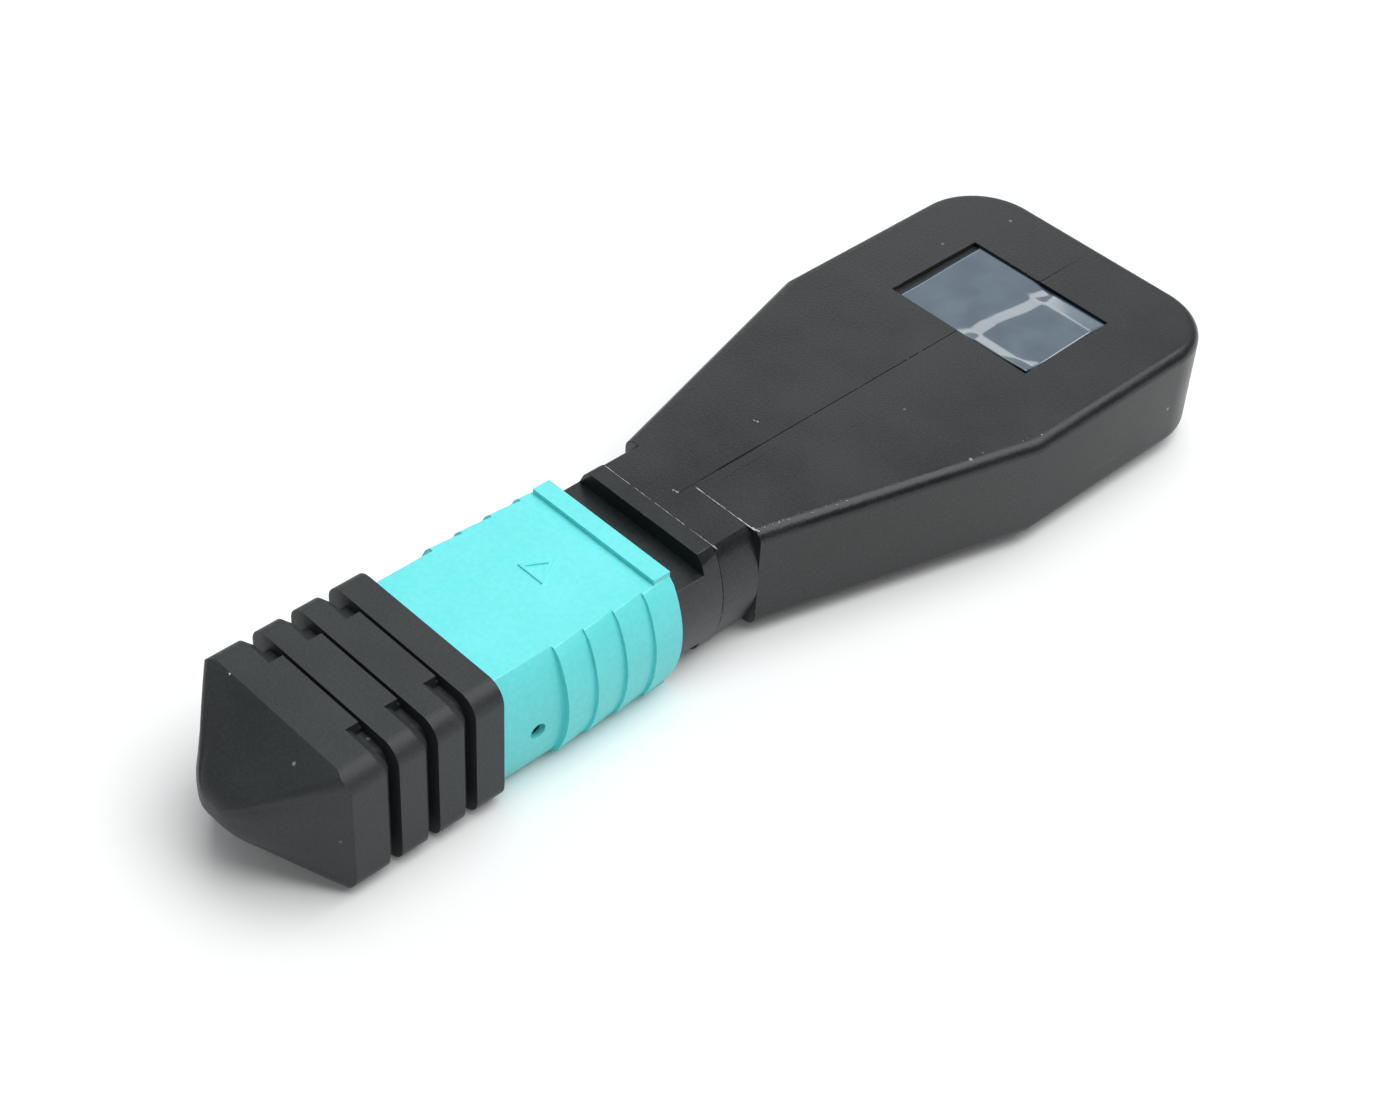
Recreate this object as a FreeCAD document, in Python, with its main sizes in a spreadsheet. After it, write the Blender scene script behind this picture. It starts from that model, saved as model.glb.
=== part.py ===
# Multi-fibre loopback plug: a 24-fibre push-pull connector whose fibres turn back inside a paddle housing.
# The plug points along -Y, the paddle housing along +Y, +Z is up, and the connector axis is parallel to Y.
# Stations along Y are counted from the shoulder, where the neck meets the paddle; heights in a
# sub-part's own frame are counted from the connector axis. All lengths are in millimetres.
import FreeCAD, Part

import math
import os

import Sketcher
from FreeCAD import Vector

# Driving dimensions: alias, value, meaning.
DIMENSIONS = [
    ("axis_height", 4.17, "connector axis above the surface"),
    ("nose_reach", 32.8, "tip of the dust cap ahead of the shoulder"),
    ("tail_reach", 35.1, "rear end of the housing behind the shoulder"),
    ("overlap", 0.1, "how far an added block runs into the body that carries it"),
    # paddle housing, split on its vertical middle plane
    ("housing_half_height", 3.5, "half the thickness of the housing"),
    ("shoulder_half_width", 5.5, "half the width at the shoulder"),
    ("paddle_half_width", 10.4, "half the width of the parallel part"),
    ("flare_length", 17.7, "length of the flare behind the shoulder"),
    ("rear_corner_radius", 4.5, "plan radius of the rear corners"),
    ("rim_radius", 0.75, "rounding of the top and bottom rims"),
    ("seam_bevel", 0.08, "bevel of each half along the seam"),
    ("wall", 1.2, "shell thickness"),
    ("cavity_front", 2.0, "front end of the fibre cavity"),
    ("neck_length", 2.7, "neck ahead of the shoulder"),
    ("neck_flat", 4.41, "half width of the neck's flat top"),
    ("neck_cheek", 4.75, "half width where the neck's cheek starts"),
    ("neck_corner", 0.35, "height of the neck's bevelled corner"),
    ("neck_bulge", 5.56, "half width of the neck at the axis"),
    ("boss_length", 2.42, "locating boss along Y"),
    ("boss_width", 2.0, "locating boss across the split"),
    ("boss_height", 1.1, "locating boss under the wall"),
    ("front_boss", 4.4, "front end of the front bosses"),
    ("dowel_radius", 0.45, "locating dowel"),
    ("dowel_length", 1.5, "locating dowel out of the split face"),
    ("dowel_gap", 0.05, "radial room of a dowel in its socket"),
    ("label_half_width", 5.4, "half the width of the label recess"),
    ("label_front", 21.9, "front end of the label recess"),
    ("label_length", 7.55, "label recess along Y"),
    ("label_depth", 0.3, "depth of the label recess"),
    ("film_half_width", 4.75, "half the width of the label film"),
    ("film_shift", 0.15, "the label film lies this much nearer to the left end of its recess"),
    ("film_margin", 0.12, "room ahead of the label film and behind it"),
    ("film_skew", 0.012, "turn of the label film in its recess, in radians"),
    ("film_nick", 0.45, "bevel on one corner of the label film"),
    ("film_thickness", 0.12, "label film"),
    # spring push, the rear body of the connector
    ("collar_half_height", 3.6, "half height of the collar's ridge"),
    ("waist_half_height", 2.5, "half height of the waist ahead of the ridge"),
    ("ridge_front", 3.83, "front face of the ridge ahead of the shoulder"),
    ("joint_station", 7.9, "spring push meets the inner housing"),
    ("insert_length", 1.1, "insert inside the inner housing"),
    ("insert_half_width", 3.4, "half the width of the insert"),
    ("insert_half_height", 1.85, "half the height of the insert"),
    ("arm_half_width", 1.5, "half the width of a latch arm"),
    ("arm_top", 2.3, "outer face of a latch arm"),
    ("arm_thickness", 0.4, "latch arm"),
    ("hook_top", 2.75, "tip of the latch hook"),
    ("hook_length", 0.8, "latch hook along Y"),
    ("arm_reach", 11.5, "front end of the arms ahead of the shoulder"),
    ("fibre_slot_half_width", 1.8, "half the width of the fibre passage"),
    ("fibre_slot_half_height", 0.6, "half the height of the fibre passage"),
    ("tail_radius", 2.4, "round tail inside the neck"),
    ("tail_end", 1.9, "rear end of the tail behind the shoulder"),
    ("tail_flange_radius", 2.9, "flange that the neck traps"),
    ("tail_flange_front", 1.5, "front of the trapped flange ahead of the shoulder"),
    ("tail_flange_length", 0.8, "trapped flange along Y"),
    ("seat_gap", 0.1, "room around seated pieces"),
    # inner housing
    ("plug_front", 24.0, "front end of the inner housing ahead of the shoulder"),
    ("plug_half_width", 4.55, "half the width of the inner housing"),
    ("plug_half_height", 2.9, "half the height of the inner housing"),
    ("plug_edge", 0.35, "bevel on the inner housing's long edges"),
    ("mouth_half_width", 3.3, "half the width of the ferrule opening"),
    ("mouth_half_height", 1.35, "half the height of the ferrule opening"),
    ("chamber_front", 18.4, "shoulder that stops the ferrule flange"),
    ("chamber_half_width", 3.5, "half the width of the spring chamber"),
    ("chamber_half_height", 1.95, "half the height of the spring chamber"),
    ("key_half_width", 1.3, "half the width of the key"),
    ("key_top", 3.45, "top of the key"),
    ("key_rear", 19.4, "rear end of the key ahead of the shoulder"),
    ("latch_pocket_front", 22.5, "front of the side latch pockets"),
    ("latch_pocket_length", 2.1, "side latch pockets along Y"),
    ("latch_pocket_half_height", 1.6, "half the height of the side latch pockets"),
    ("latch_pocket_depth", 0.7, "depth of the side latch pockets"),
    ("lug_half_width", 1.0, "half the width of a stop lug"),
    ("lug_front", 14.2, "front of the stop lugs ahead of the shoulder"),
    ("lug_length", 0.8, "stop lug along Y"),
    ("lug_top", 3.22, "top of a stop lug"),
    ("window_clearance", 0.1, "room of a latch hook in its window"),
    # sleeve springs and their channels
    ("channel_front", 15.2, "front end of the spring channels"),
    ("channel_rear", 9.4, "rear end of the spring channels"),
    ("channel_floor", 3.85, "floor of the channels from the axis"),
    ("channel_half_height", 0.7, "half the height of the channels"),
    ("seat_reach", 5.2, "outer face of the lugs that seat the springs"),
    ("sleeve_spring_centre", 4.55, "spring axis from the connector axis"),
    ("sleeve_spring_radius", 0.5, "mean coil radius of a sleeve spring"),
    ("sleeve_wire_radius", 0.1, "wire of a sleeve spring"),
    ("sleeve_spring_turns", 6.0, "turns of a sleeve spring"),
    # ferrule group
    ("tip_reach", 24.4, "polished face of the ferrule ahead of the shoulder"),
    ("ferrule_length", 8.0, "ferrule along Y"),
    ("ferrule_half_width", 3.2, "half the width of the ferrule"),
    ("ferrule_half_height", 1.25, "half the height of the ferrule"),
    ("flange_length", 2.0, "ferrule flange along Y"),
    ("flange_half_width", 3.4, "half the width of the flange"),
    ("flange_half_height", 1.55, "half the height of the flange"),
    ("guide_hole_radius", 0.35, "guide pin hole"),
    ("guide_hole_offset", 2.3, "guide pin hole from the axis"),
    ("fibre_hole_radius", 0.075, "fibre hole at the polished face"),
    ("fibre_hole_depth", 3.6, "length of the fibre holes"),
    ("glue_window_length", 1.9, "adhesive window along Y"),
    ("glue_window_half_width", 1.6, "half the width of the adhesive window"),
    ("glue_window_floor", 0.5, "floor of the window below the axis"),
    ("boot_pocket_half_width", 1.77, "half the width of the boot pocket"),
    ("boot_pocket_half_height", 0.9, "half the height of the boot pocket"),
    ("boot_pocket_depth", 1.6, "depth of the boot pocket"),
    ("boot_length", 5.0, "rubber boot along Y"),
    ("boot_inset", 1.5, "boot inside the ferrule"),
    ("boot_half_width", 1.72, "half the width of the boot"),
    ("boot_half_height", 0.85, "half the height of the boot"),
    ("boot_slot_half_width", 1.56, "half the width of the fibre slot"),
    ("boot_slot_half_height", 0.43, "half the height of the fibre slot"),
    ("spacer_length", 2.2, "spacer along Y"),
    ("spacer_half_height", 1.5, "half the height of the spacer"),
    ("spacer_window_half_width", 1.85, "half the width of the spacer's window"),
    ("spacer_window_half_height", 0.97, "half the height of the spacer's window"),
    ("ferrule_wire_radius", 0.22, "wire of the ferrule spring"),
    ("ferrule_coil_half_width", 3.05, "mean half width of the oval coil"),
    ("ferrule_coil_half_height", 1.25, "mean half height of the oval coil"),
    ("ferrule_spring_turns", 5.0, "turns of the ferrule spring"),
    # fibres
    ("fibre_pitch", 0.25, "distance between neighbouring fibres"),
    ("row_gap", 0.5, "distance between the two rows"),
    ("coating_radius", 0.12, "coated fibre"),
    ("glass_radius", 0.0625, "bare glass inside the ferrule"),
    ("strip_length", 3.5, "stripped length from the polished face"),
    ("spread_start", 3.0, "the fibres start to spread behind the shoulder"),
    ("spread_radius", 12.0, "bend where the outer loop leaves the axis"),
    ("spread_angle", 20.0, "angle of the spread, in degrees"),
    ("loop_radius", 8.0, "bend of the outer loop"),
    # pull sleeve
    ("sleeve_front", 18.7, "front end of the sleeve ahead of the shoulder"),
    ("sleeve_rear", 6.29, "rear end of the sleeve ahead of the shoulder"),
    ("sleeve_half_height", 3.85, "half the height of the sleeve"),
    ("smooth_flat", 4.8, "half width of the smooth part's flat top"),
    ("smooth_cheek", 5.15, "half width where its cheek starts"),
    ("smooth_bulge", 5.95, "half width of the smooth part at the axis"),
    ("grip_front", 14.6, "first grip step ahead of the shoulder"),
    ("grip_count", 4.0, "number of grip steps"),
    ("grip_flat", 5.05, "half width of the grip's flat top"),
    ("grip_cheek", 5.45, "half width where the grip's cheek starts"),
    ("grip_bulge", 6.34, "half width of the grip at the axis"),
    ("grip_step", 0.2, "height of a grip step"),
    ("cheek_drop", 0.4, "height of the sleeve's bevelled corner"),
    ("lip_front", 7.45, "front of the raised rear lip"),
    ("lip_half_height", 4.17, "half height over the rear lip"),
    ("lip_flat", 4.9, "half width of the rear lip"),
    ("bore_half_width", 4.65, "half the width of the front bore"),
    ("bore_half_height", 3.0, "half the height of the bore"),
    ("rear_bore_flat", 5.0, "half width of the rear bore's flat top"),
    ("rear_bore_cheek", 5.15, "half width where its cheek starts"),
    ("rear_bore_corner", 0.15, "height of its bevelled corner"),
    ("rear_bore_bulge", 5.69, "half width of the rear bore at the axis"),
    ("stop_slot_depth", 0.3, "depth of the stop slots"),
    ("stop_slot_half_width", 1.15, "half the width of the stop slots"),
    ("sleeve_travel", 1.8, "travel of the sleeve"),
    ("pin_hole_radius", 0.5, "side hole in the sleeve"),
    ("pin_hole_station", 16.4, "side hole ahead of the shoulder"),
    ("pin_hole_drop", 0.4, "side hole below the axis"),
    ("arrow_front", 11.9, "base of the pull arrow ahead of the shoulder"),
    ("arrow_length", 1.75, "pull arrow along Y"),
    ("arrow_half_width", 1.0, "half the width of the pull arrow"),
    ("arrow_stroke", 0.18, "line width of the pull arrow"),
    ("arrow_corner_inset", 0.32, "inner corners of the arrow's outline, across, from the outer ones"),
    ("arrow_tip_inset", 0.4, "inner corner at the arrow's tip from the outer one"),
    ("arrow_height", 0.1, "relief of the pull arrow"),
    # dust cap
    ("cap_rear", 18.8, "rear face of the cap ahead of the shoulder"),
    ("cap_rear_band", 1.84, "rear band along Y"),
    ("cap_band_pitch", 2.46, "distance between the bands"),
    ("cap_shoulder", 28.49, "front edge of the cap's flat top"),
    ("cap_half_width", 6.05, "half the width of the cap"),
    ("cap_top", 4.45, "top of the cap above the axis"),
    ("cap_bottom", 3.95, "bottom of the cap below the axis"),
    ("cap_corner_radius", 1.2, "corner radius of the bands"),
    ("groove_width", 0.6, "finger groove along Y, below its bevel"),
    ("groove_bevel", 0.45, "bevel of the grooves' front edges"),
    ("slit_width", 0.2, "slit that joins the two ends of a finger groove"),
    ("slit_depth", 0.5, "depth of the slit"),
    ("groove_inner_end", 3.1, "inner end of the grooves from the middle"),
    ("groove_core_half_width", 5.05, "half the width left inside the grooves"),
    ("groove_core_top", 3.65, "top left inside the grooves above the axis"),
    ("groove_core_bottom", 3.35, "bottom left inside the grooves below the axis"),
    ("groove_core_radius", 0.8, "corner radius inside the grooves"),
    ("tip_half_width", 1.4, "half the width of the blunt tip"),
    ("tip_top", 1.5, "top of the blunt tip above the axis"),
    ("tip_bottom", 0.6, "bottom of the blunt tip below the axis"),
    ("hip_radius", 0.8, "rounding where two faces of the nose meet"),
    ("tip_radius", 0.6, "rounding of the blunt tip's rim"),
    ("cap_cavity_front", 25.5, "front end of the cap's cavity"),
    ("key_slot_half_width", 1.4, "half the width of the key slot"),
    ("key_slot_top", 3.55, "top of the key slot"),
]

TINY = 1e-6
BEYOND = 1.5            # a cut that leaves the body reaches this many times its half size
FIBRES_PER_ROW = 12
ROWS = 2
CAP_BANDS = 4
WIRE_SIDES = 6          # springs and fibres repeat often, so their round sections are hexagons
BEND_STEPS = 2          # straight steps of a fibre's bend
LOOP_STEPS = 10         # straight steps of a fibre's loop


class Size:
    """A dimension that carries its value and the expression that ties it to the sheet."""

    def __init__(self, value, text):
        self.value = value
        self.text = text

    def __add__(self, other):
        return combined(self, "+", other, self.value + as_size(other).value)

    def __sub__(self, other):
        return combined(self, "-", other, self.value - as_size(other).value)

    def __mul__(self, other):
        return combined(self, "*", other, self.value * as_size(other).value)

    def __truediv__(self, other):
        return combined(self, "/", other, self.value / as_size(other).value)

    def __rmul__(self, other):
        return as_size(other) * self

    def __neg__(self):
        return as_size(-1.0) * self


def as_size(value):
    """Return value as a Size; a plain number becomes a constant."""
    if isinstance(value, Size):
        return value
    return Size(float(value), "(%r)" % float(value))


def combined(first, operator, second, value):
    """Return the Size of two dimensions joined by an arithmetic operator."""
    return Size(value, "(%s %s %s)" % (as_size(first).text, operator, as_size(second).text))


class SizeSheet:
    """The spreadsheet of driving dimensions; each attribute is the Size of one cell."""

    def __init__(self, doc):
        self.values = {}
        cells = doc.addObject("Spreadsheet::Sheet", "Sizes")
        for row, (alias, value, meaning) in enumerate(DIMENSIONS, start=1):
            cells.set("A%d" % row, meaning)
            cells.set("B%d" % row, repr(value))
            cells.setAlias("B%d" % row, alias)
            self.values[alias] = value
        doc.recompute()

    def __getattr__(self, alias):
        return Size(self.values[alias], "Sizes." + alias)


def bind(feature, property_name, size):
    """Tie a property of a feature to the sheet."""
    feature.setExpression(property_name, as_size(size).text)


def arc_radius(chord_half, rise):
    """Return the radius of an arc whose chord and rise over the chord are known."""
    return (chord_half * chord_half + rise * rise) / (2 * rise)


# --- sketches -------------------------------------------------------------------------------------

def origin_plane(body, role):
    """Return one of the body's own origin planes."""
    return [plane for plane in body.Origin.OriginFeatures if plane.Role == role][0]


def sketch_on(body, role, offset=0):
    """Return a new sketch on an origin plane, moved along the plane's normal by offset."""
    sketch = body.newObject("Sketcher::SketchObject", body.Name + "_sketch")
    sketch.AttachmentSupport = [(origin_plane(body, role), "")]
    sketch.MapMode = "FlatFace"
    bind(sketch, "AttachmentOffset.Base.z", offset)
    return sketch


def section(body, station):
    """Return a sketch across the connector at a station; its x is X and its y is Z."""
    return sketch_on(body, "XZ_Plane", -as_size(station))


def dimension(sketch, kind, first, second, size):
    """Add a distance constraint between two points and tie it to the sheet."""
    if size.value < 0:
        first, second, size = second, first, -size
    index = sketch.addConstraint(Sketcher.Constraint(kind, *first, *second, size.value))
    bind(sketch, "Constraints[%d]" % index, size)


def hold(sketch, geometry, point, x, y):
    """Fix a point of a sketch by its distances from the sketch's origin."""
    for kind, axis, size in (("DistanceX", -2, as_size(x)), ("DistanceY", -1, as_size(y))):
        if size.value == 0:
            sketch.addConstraint(Sketcher.Constraint("PointOnObject", geometry, point, axis))
        else:
            dimension(sketch, kind, (-1, 1), (geometry, point), size)


class Outline:
    """A closed loop of lines and arcs whose corners are tied to the sheet."""

    def __init__(self, sketch, x, y):
        self.sketch = sketch
        self.corners = [(as_size(x), as_size(y))]
        self.edges = []

    def line(self, x, y):
        """Go straight to a corner."""
        self.corners.append((as_size(x), as_size(y)))
        self.edges.append(None)
        return self

    def arc(self, x, y, radius, around=(0.0, 0.0)):
        """Go to a corner along the shorter arc whose centre lies on the side of a point."""
        self.corners.append((as_size(x), as_size(y)))
        self.edges.append((as_size(radius), Vector(around[0], around[1], 0)))
        return self

    def close(self, radius=None, around=(0.0, 0.0)):
        """Go back to the first corner, straight or along an arc, and draw the loop."""
        self.edges.append(None if radius is None else (as_size(radius), Vector(around[0], around[1], 0)))
        ends = [self.draw(index) for index in range(len(self.edges))]
        for index, (geometry, start, _end) in enumerate(ends):
            before, _start, end = ends[index - 1]
            self.sketch.addConstraint(Sketcher.Constraint("Coincident", before, end, geometry, start))
            hold(self.sketch, geometry, start, *self.corners[index])
        return self.sketch

    def draw(self, index):
        """Draw one edge and return its geometry number and the numbers of its two end points."""
        start = corner_point(self.corners[index])
        end = corner_point(self.corners[(index + 1) % len(self.corners)])
        if self.edges[index] is None:
            return self.sketch.addGeometry(Part.LineSegment(start, end), False), 1, 2
        radius, around = self.edges[index]
        centre = arc_centre(start, end, radius.value, around)
        circle = Part.Circle(centre, Vector(0, 0, 1), radius.value)
        turn = (start - centre).cross(end - centre).z
        first, last = (start, end) if turn > 0 else (end, start)
        arc = Part.ArcOfCircle(circle, circle.parameter(first), circle.parameter(last))
        geometry = self.sketch.addGeometry(arc, False)
        index = self.sketch.addConstraint(Sketcher.Constraint("Radius", geometry, radius.value))
        bind(self.sketch, "Constraints[%d]" % index, radius)
        return (geometry, 1, 2) if turn > 0 else (geometry, 2, 1)


def corner_point(corner):
    """Return a corner of an outline as a vector."""
    return Vector(corner[0].value, corner[1].value, 0)


def arc_centre(start, end, radius, around):
    """Return the centre of an arc between two points, on the side of a third."""
    chord = end - start
    middle = (start + end) * 0.5
    side = Vector(-chord.y, chord.x, 0).normalize()
    if side.dot(around - middle) < 0:
        side = side * -1
    return middle + side * math.sqrt(max(radius ** 2 - chord.Length ** 2 / 4, 0))


def rectangle(sketch, left, bottom, right, top):
    """Draw a rectangle from its four sides."""
    return Outline(sketch, left, bottom).line(right, bottom).line(right, top).line(left, top).close()


def centred_rectangle(sketch, half_width, half_height):
    """Draw a rectangle about the sketch's origin."""
    return rectangle(sketch, -half_width, -half_height, half_width, half_height)


def rounded_rectangle(sketch, half_width, bottom, top, radius):
    """Draw a rectangle with round corners between two heights, centred across the sketch."""
    flat = half_width - radius
    low, high = bottom + radius, top - radius
    middle = (0.0, (bottom.value + top.value) / 2)
    outline = Outline(sketch, -flat, bottom)
    outline.line(flat, bottom).arc(half_width, low, radius, middle)
    outline.line(half_width, high).arc(flat, top, radius, middle)
    outline.line(-flat, top).arc(-half_width, high, radius, middle)
    return outline.line(-half_width, low).close(radius, middle)


def cheeked_outline(sketch, half_height, flat, cheek, corner, bulge):
    """Draw the connector's section: flat top and bottom, bevelled corners and convex cheeks."""
    edge = half_height - corner
    radius = arc_radius(edge, bulge - cheek)
    outline = Outline(sketch, -flat, -half_height)
    outline.line(flat, -half_height).line(cheek, -edge).arc(cheek, edge, radius)
    outline.line(flat, half_height).line(-flat, half_height).line(-cheek, edge)
    return outline.arc(-cheek, -edge, radius).close()


def hexagon(sketch, x, y, radius):
    """Draw a hexagon with two corners level with its centre."""
    rise = radius * math.sin(math.pi / 3)
    outline = Outline(sketch, x - radius, y).line(x - radius / 2, y - rise).line(x + radius / 2, y - rise)
    return outline.line(x + radius, y).line(x + radius / 2, y + rise).line(x - radius / 2, y + rise).close()


def circle(sketch, x, y, radius):
    """Draw a circle."""
    radius = as_size(radius)
    centre = corner_point((as_size(x), as_size(y)))
    geometry = sketch.addGeometry(Part.Circle(centre, Vector(0, 0, 1), radius.value), False)
    index = sketch.addConstraint(Sketcher.Constraint("Radius", geometry, radius.value))
    bind(sketch, "Constraints[%d]" % index, radius)
    hold(sketch, geometry, 3, x, y)
    return sketch


# --- features -------------------------------------------------------------------------------------

def new_body(doc, sizes, label):
    """Return an empty body whose frame has its origin on the axis, at the shoulder's station."""
    body = doc.addObject("PartDesign::Body", label)
    body.Label = label
    place(body, sizes)
    return body


def place(piece, sizes):
    """Put a sub-part's own frame into the plug's frame."""
    bind(piece, "Placement.Base.y", (sizes.nose_reach - sizes.tail_reach) / 2)
    bind(piece, "Placement.Base.z", sizes.axis_height)


def prism(body, kind, sketch, length, side, reverse):
    """Add one extruded feature and return it."""
    feature = body.newObject("PartDesign::" + kind, body.Name + "_" + kind.lower())
    feature.Profile = sketch
    feature.SideType = side
    feature.Reversed = reverse
    bind(feature, "Length", length)
    return feature


def pad(body, sketch, length, side="One side", reverse=False):
    """Extrude a sketch: along its normal, against it, or to both sides (half the length each)."""
    return prism(body, "Pad", sketch, length, side, reverse)


def pocket(body, sketch, length, side="One side", reverse=False):
    """Cut a sketch out of the body: against its normal, along it, or to both sides."""
    body.Document.recompute()
    before = body.Shape.Volume
    feature = prism(body, "Pocket", sketch, length, side, reverse)
    body.Document.recompute()
    if body.Shape.Volume > before - TINY:
        raise RuntimeError("a pocket of %s cuts nothing" % body.Label)
    return feature


def loft(body, first, second):
    """Add a straight loft between two sketches."""
    feature = body.newObject("PartDesign::AdditiveLoft", body.Name + "_loft")
    feature.Profile = first
    feature.Sections = [second]
    feature.Ruled = True
    return feature


def turned(body, kind, sketch):
    """Add or cut a full turn of a sketch about the connector's axis."""
    feature = body.newObject("PartDesign::" + kind, body.Name + "_" + kind.lower())
    feature.Profile = sketch
    feature.ReferenceAxis = (sketch, ["V_Axis"])
    feature.Angle = 360
    return feature


def dressed(body, kind, size, chosen):
    """Round or bevel the edges of the body that a test picks."""
    body.Document.recompute()
    base = body.Tip
    names = ["Edge%d" % number for number, edge in enumerate(base.Shape.Edges, start=1) if chosen(edge)]
    if not names:
        raise RuntimeError("no edge of %s is picked" % body.Label)
    feature = body.newObject("PartDesign::" + kind, body.Name + "_" + kind.lower())
    feature.Base = (base, names)
    bind(feature, "Radius" if kind == "Fillet" else "Size", size)
    return feature


# --- paddle housing -------------------------------------------------------------------------------

def paddle_outline(sketch, sizes, side, inset, front):
    """Draw one half of the paddle in plan, between the split plane and its outer wall."""
    slope = (sizes.paddle_half_width - sizes.shoulder_half_width) / sizes.flare_length
    width = sizes.paddle_half_width - inset
    rear = sizes.tail_reach - inset
    radius = sizes.rear_corner_radius - inset
    middle = (side * width.value / 2, rear.value / 2)
    outline = Outline(sketch, 0, front)
    outline.line(side * (sizes.shoulder_half_width - inset + slope * front), front)
    outline.line(side * width, sizes.flare_length)
    outline.line(side * width, rear - radius)
    outline.arc(side * (width - radius), rear, radius, middle)
    return outline.line(0, rear).close()


def neck_outline(sketch, sizes, side):
    """Draw one half of the neck's section."""
    height = sizes.housing_half_height
    edge = height - sizes.neck_corner
    outline = Outline(sketch, 0, -height)
    outline.line(side * sizes.neck_flat, -height).line(side * sizes.neck_cheek, -edge)
    radius = arc_radius(edge, sizes.neck_bulge - sizes.neck_cheek)
    outline.arc(side * sizes.neck_cheek, edge, radius)
    return outline.line(side * sizes.neck_flat, height).line(0, height).close()


def tail_channel_outline(sketch, sizes):
    """Draw half the section of the channel that traps the connector's tail."""
    gap = sizes.seat_gap
    radius = sizes.tail_radius + gap
    front = -sizes.neck_length
    trap_front = -sizes.tail_flange_front - gap
    trap_rear = sizes.tail_flange_length - sizes.tail_flange_front + gap
    trap_radius = sizes.tail_flange_radius + gap
    outline = Outline(sketch, 0, front).line(radius, front).line(radius, trap_front)
    outline.line(trap_radius, trap_front).line(trap_radius, trap_rear).line(radius, trap_rear)
    return outline.line(radius, sizes.cavity_front).line(0, sizes.cavity_front).close()


def dowel_places(sizes):
    """Return the (Y, Z) places of the two locating dowels, front top and rear bottom."""
    height = sizes.housing_half_height - sizes.wall - sizes.boss_height / 2
    front = sizes.front_boss + sizes.boss_length / 2
    rear = sizes.tail_reach - sizes.wall - sizes.boss_length / 2
    return [(front, height), (rear, -height)]


def housing_half(doc, sizes, name, side):
    """Build one moulded half of the paddle housing; side is +1 for the half at +X."""
    body = new_body(doc, sizes, name)
    height = sizes.housing_half_height
    pad(body, paddle_outline(sketch_on(body, "XY_Plane"), sizes, side, as_size(0), as_size(0)), height * 2,
        "Symmetric")
    dressed(body, "Fillet", sizes.rim_radius, lambda edge: on_rim(edge, sizes))
    pad(body, neck_outline(section(body, 0), sizes, side), sizes.neck_length)
    dressed(body, "Chamfer", sizes.seam_bevel, lambda edge: on_seam(edge, sizes))
    cavity = paddle_outline(sketch_on(body, "XY_Plane"), sizes, side, sizes.wall, sizes.cavity_front)
    pocket(body, cavity, (height - sizes.wall) * 2, "Symmetric")
    turned(body, "Groove", tail_channel_outline(sketch_on(body, "XY_Plane"), sizes))
    for station, level in dowel_places(sizes):
        add_boss(body, sizes, side, station, level)
        add_dowel(body, sizes, side, station, level)
    recess = sketch_on(body, "XY_Plane", height)
    rectangle(recess, 0, sizes.label_front, side * sizes.label_half_width,
              sizes.label_front + sizes.label_length)
    pocket(body, recess, sizes.label_depth)
    return body


def on_rim(edge, sizes):
    """Tell whether an edge of the plain paddle lies on its top or bottom rim, off the shoulder."""
    box = edge.BoundBox
    level = box.ZLength < TINY and abs(abs(box.ZMin) - sizes.housing_half_height.value) < TINY
    return level and box.YMax > TINY and not in_split_plane(box)


def on_seam(edge, sizes):
    """Tell whether an edge of the plain half borders its split face, behind the neck's front."""
    box = edge.BoundBox
    return in_split_plane(box) and box.YMax > TINY - sizes.neck_length.value


def in_split_plane(box):
    """Tell whether a bounding box lies in the plane where the two halves meet."""
    return max(abs(box.XMin), abs(box.XMax)) < TINY


def add_boss(body, sizes, side, station, level):
    """Add the boss under the top or bottom wall that carries one dowel or socket."""
    sketch = sketch_on(body, "XY_Plane", level)
    half_length = sizes.boss_length / 2
    rectangle(sketch, 0, station - half_length, side * sizes.boss_width, station + half_length)
    return pad(body, sketch, sizes.boss_height + sizes.overlap, "Symmetric")


def add_dowel(body, sizes, side, station, level):
    """Add a dowel to the half at +X, or its socket to the half at -X."""
    sketch = sketch_on(body, "YZ_Plane")
    if side > 0:
        circle(sketch, station, level, sizes.dowel_radius)
        return pad(body, sketch, sizes.dowel_length, reverse=True)
    circle(sketch, station, level, sizes.dowel_radius + sizes.dowel_gap)
    return pocket(body, sketch, sizes.dowel_length + sizes.seat_gap)


def label_film(doc, sizes):
    """Build the blank film that lies in the label recess, a little askew and one corner nicked."""
    body = new_body(doc, sizes, "label_film")
    half_width = sizes.film_half_width
    half_length = sizes.label_length / 2 - sizes.film_margin
    middle = sizes.label_front + sizes.label_length / 2
    nick = sizes.film_nick

    def turned_corner(across, along):
        return (across - sizes.film_shift + sizes.film_skew * along,
                middle + along - sizes.film_skew * across)

    outline = Outline(sketch_on(body, "XY_Plane", sizes.housing_half_height - sizes.label_depth),
                      *turned_corner(-half_width, -half_length))
    outline.line(*turned_corner(half_width, -half_length))
    outline.line(*turned_corner(half_width, half_length - nick))
    outline.line(*turned_corner(half_width - nick, half_length))
    pad(body, outline.line(*turned_corner(-half_width, half_length)).close(), sizes.film_thickness)
    return body


# --- spring push ----------------------------------------------------------------------------------

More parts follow.
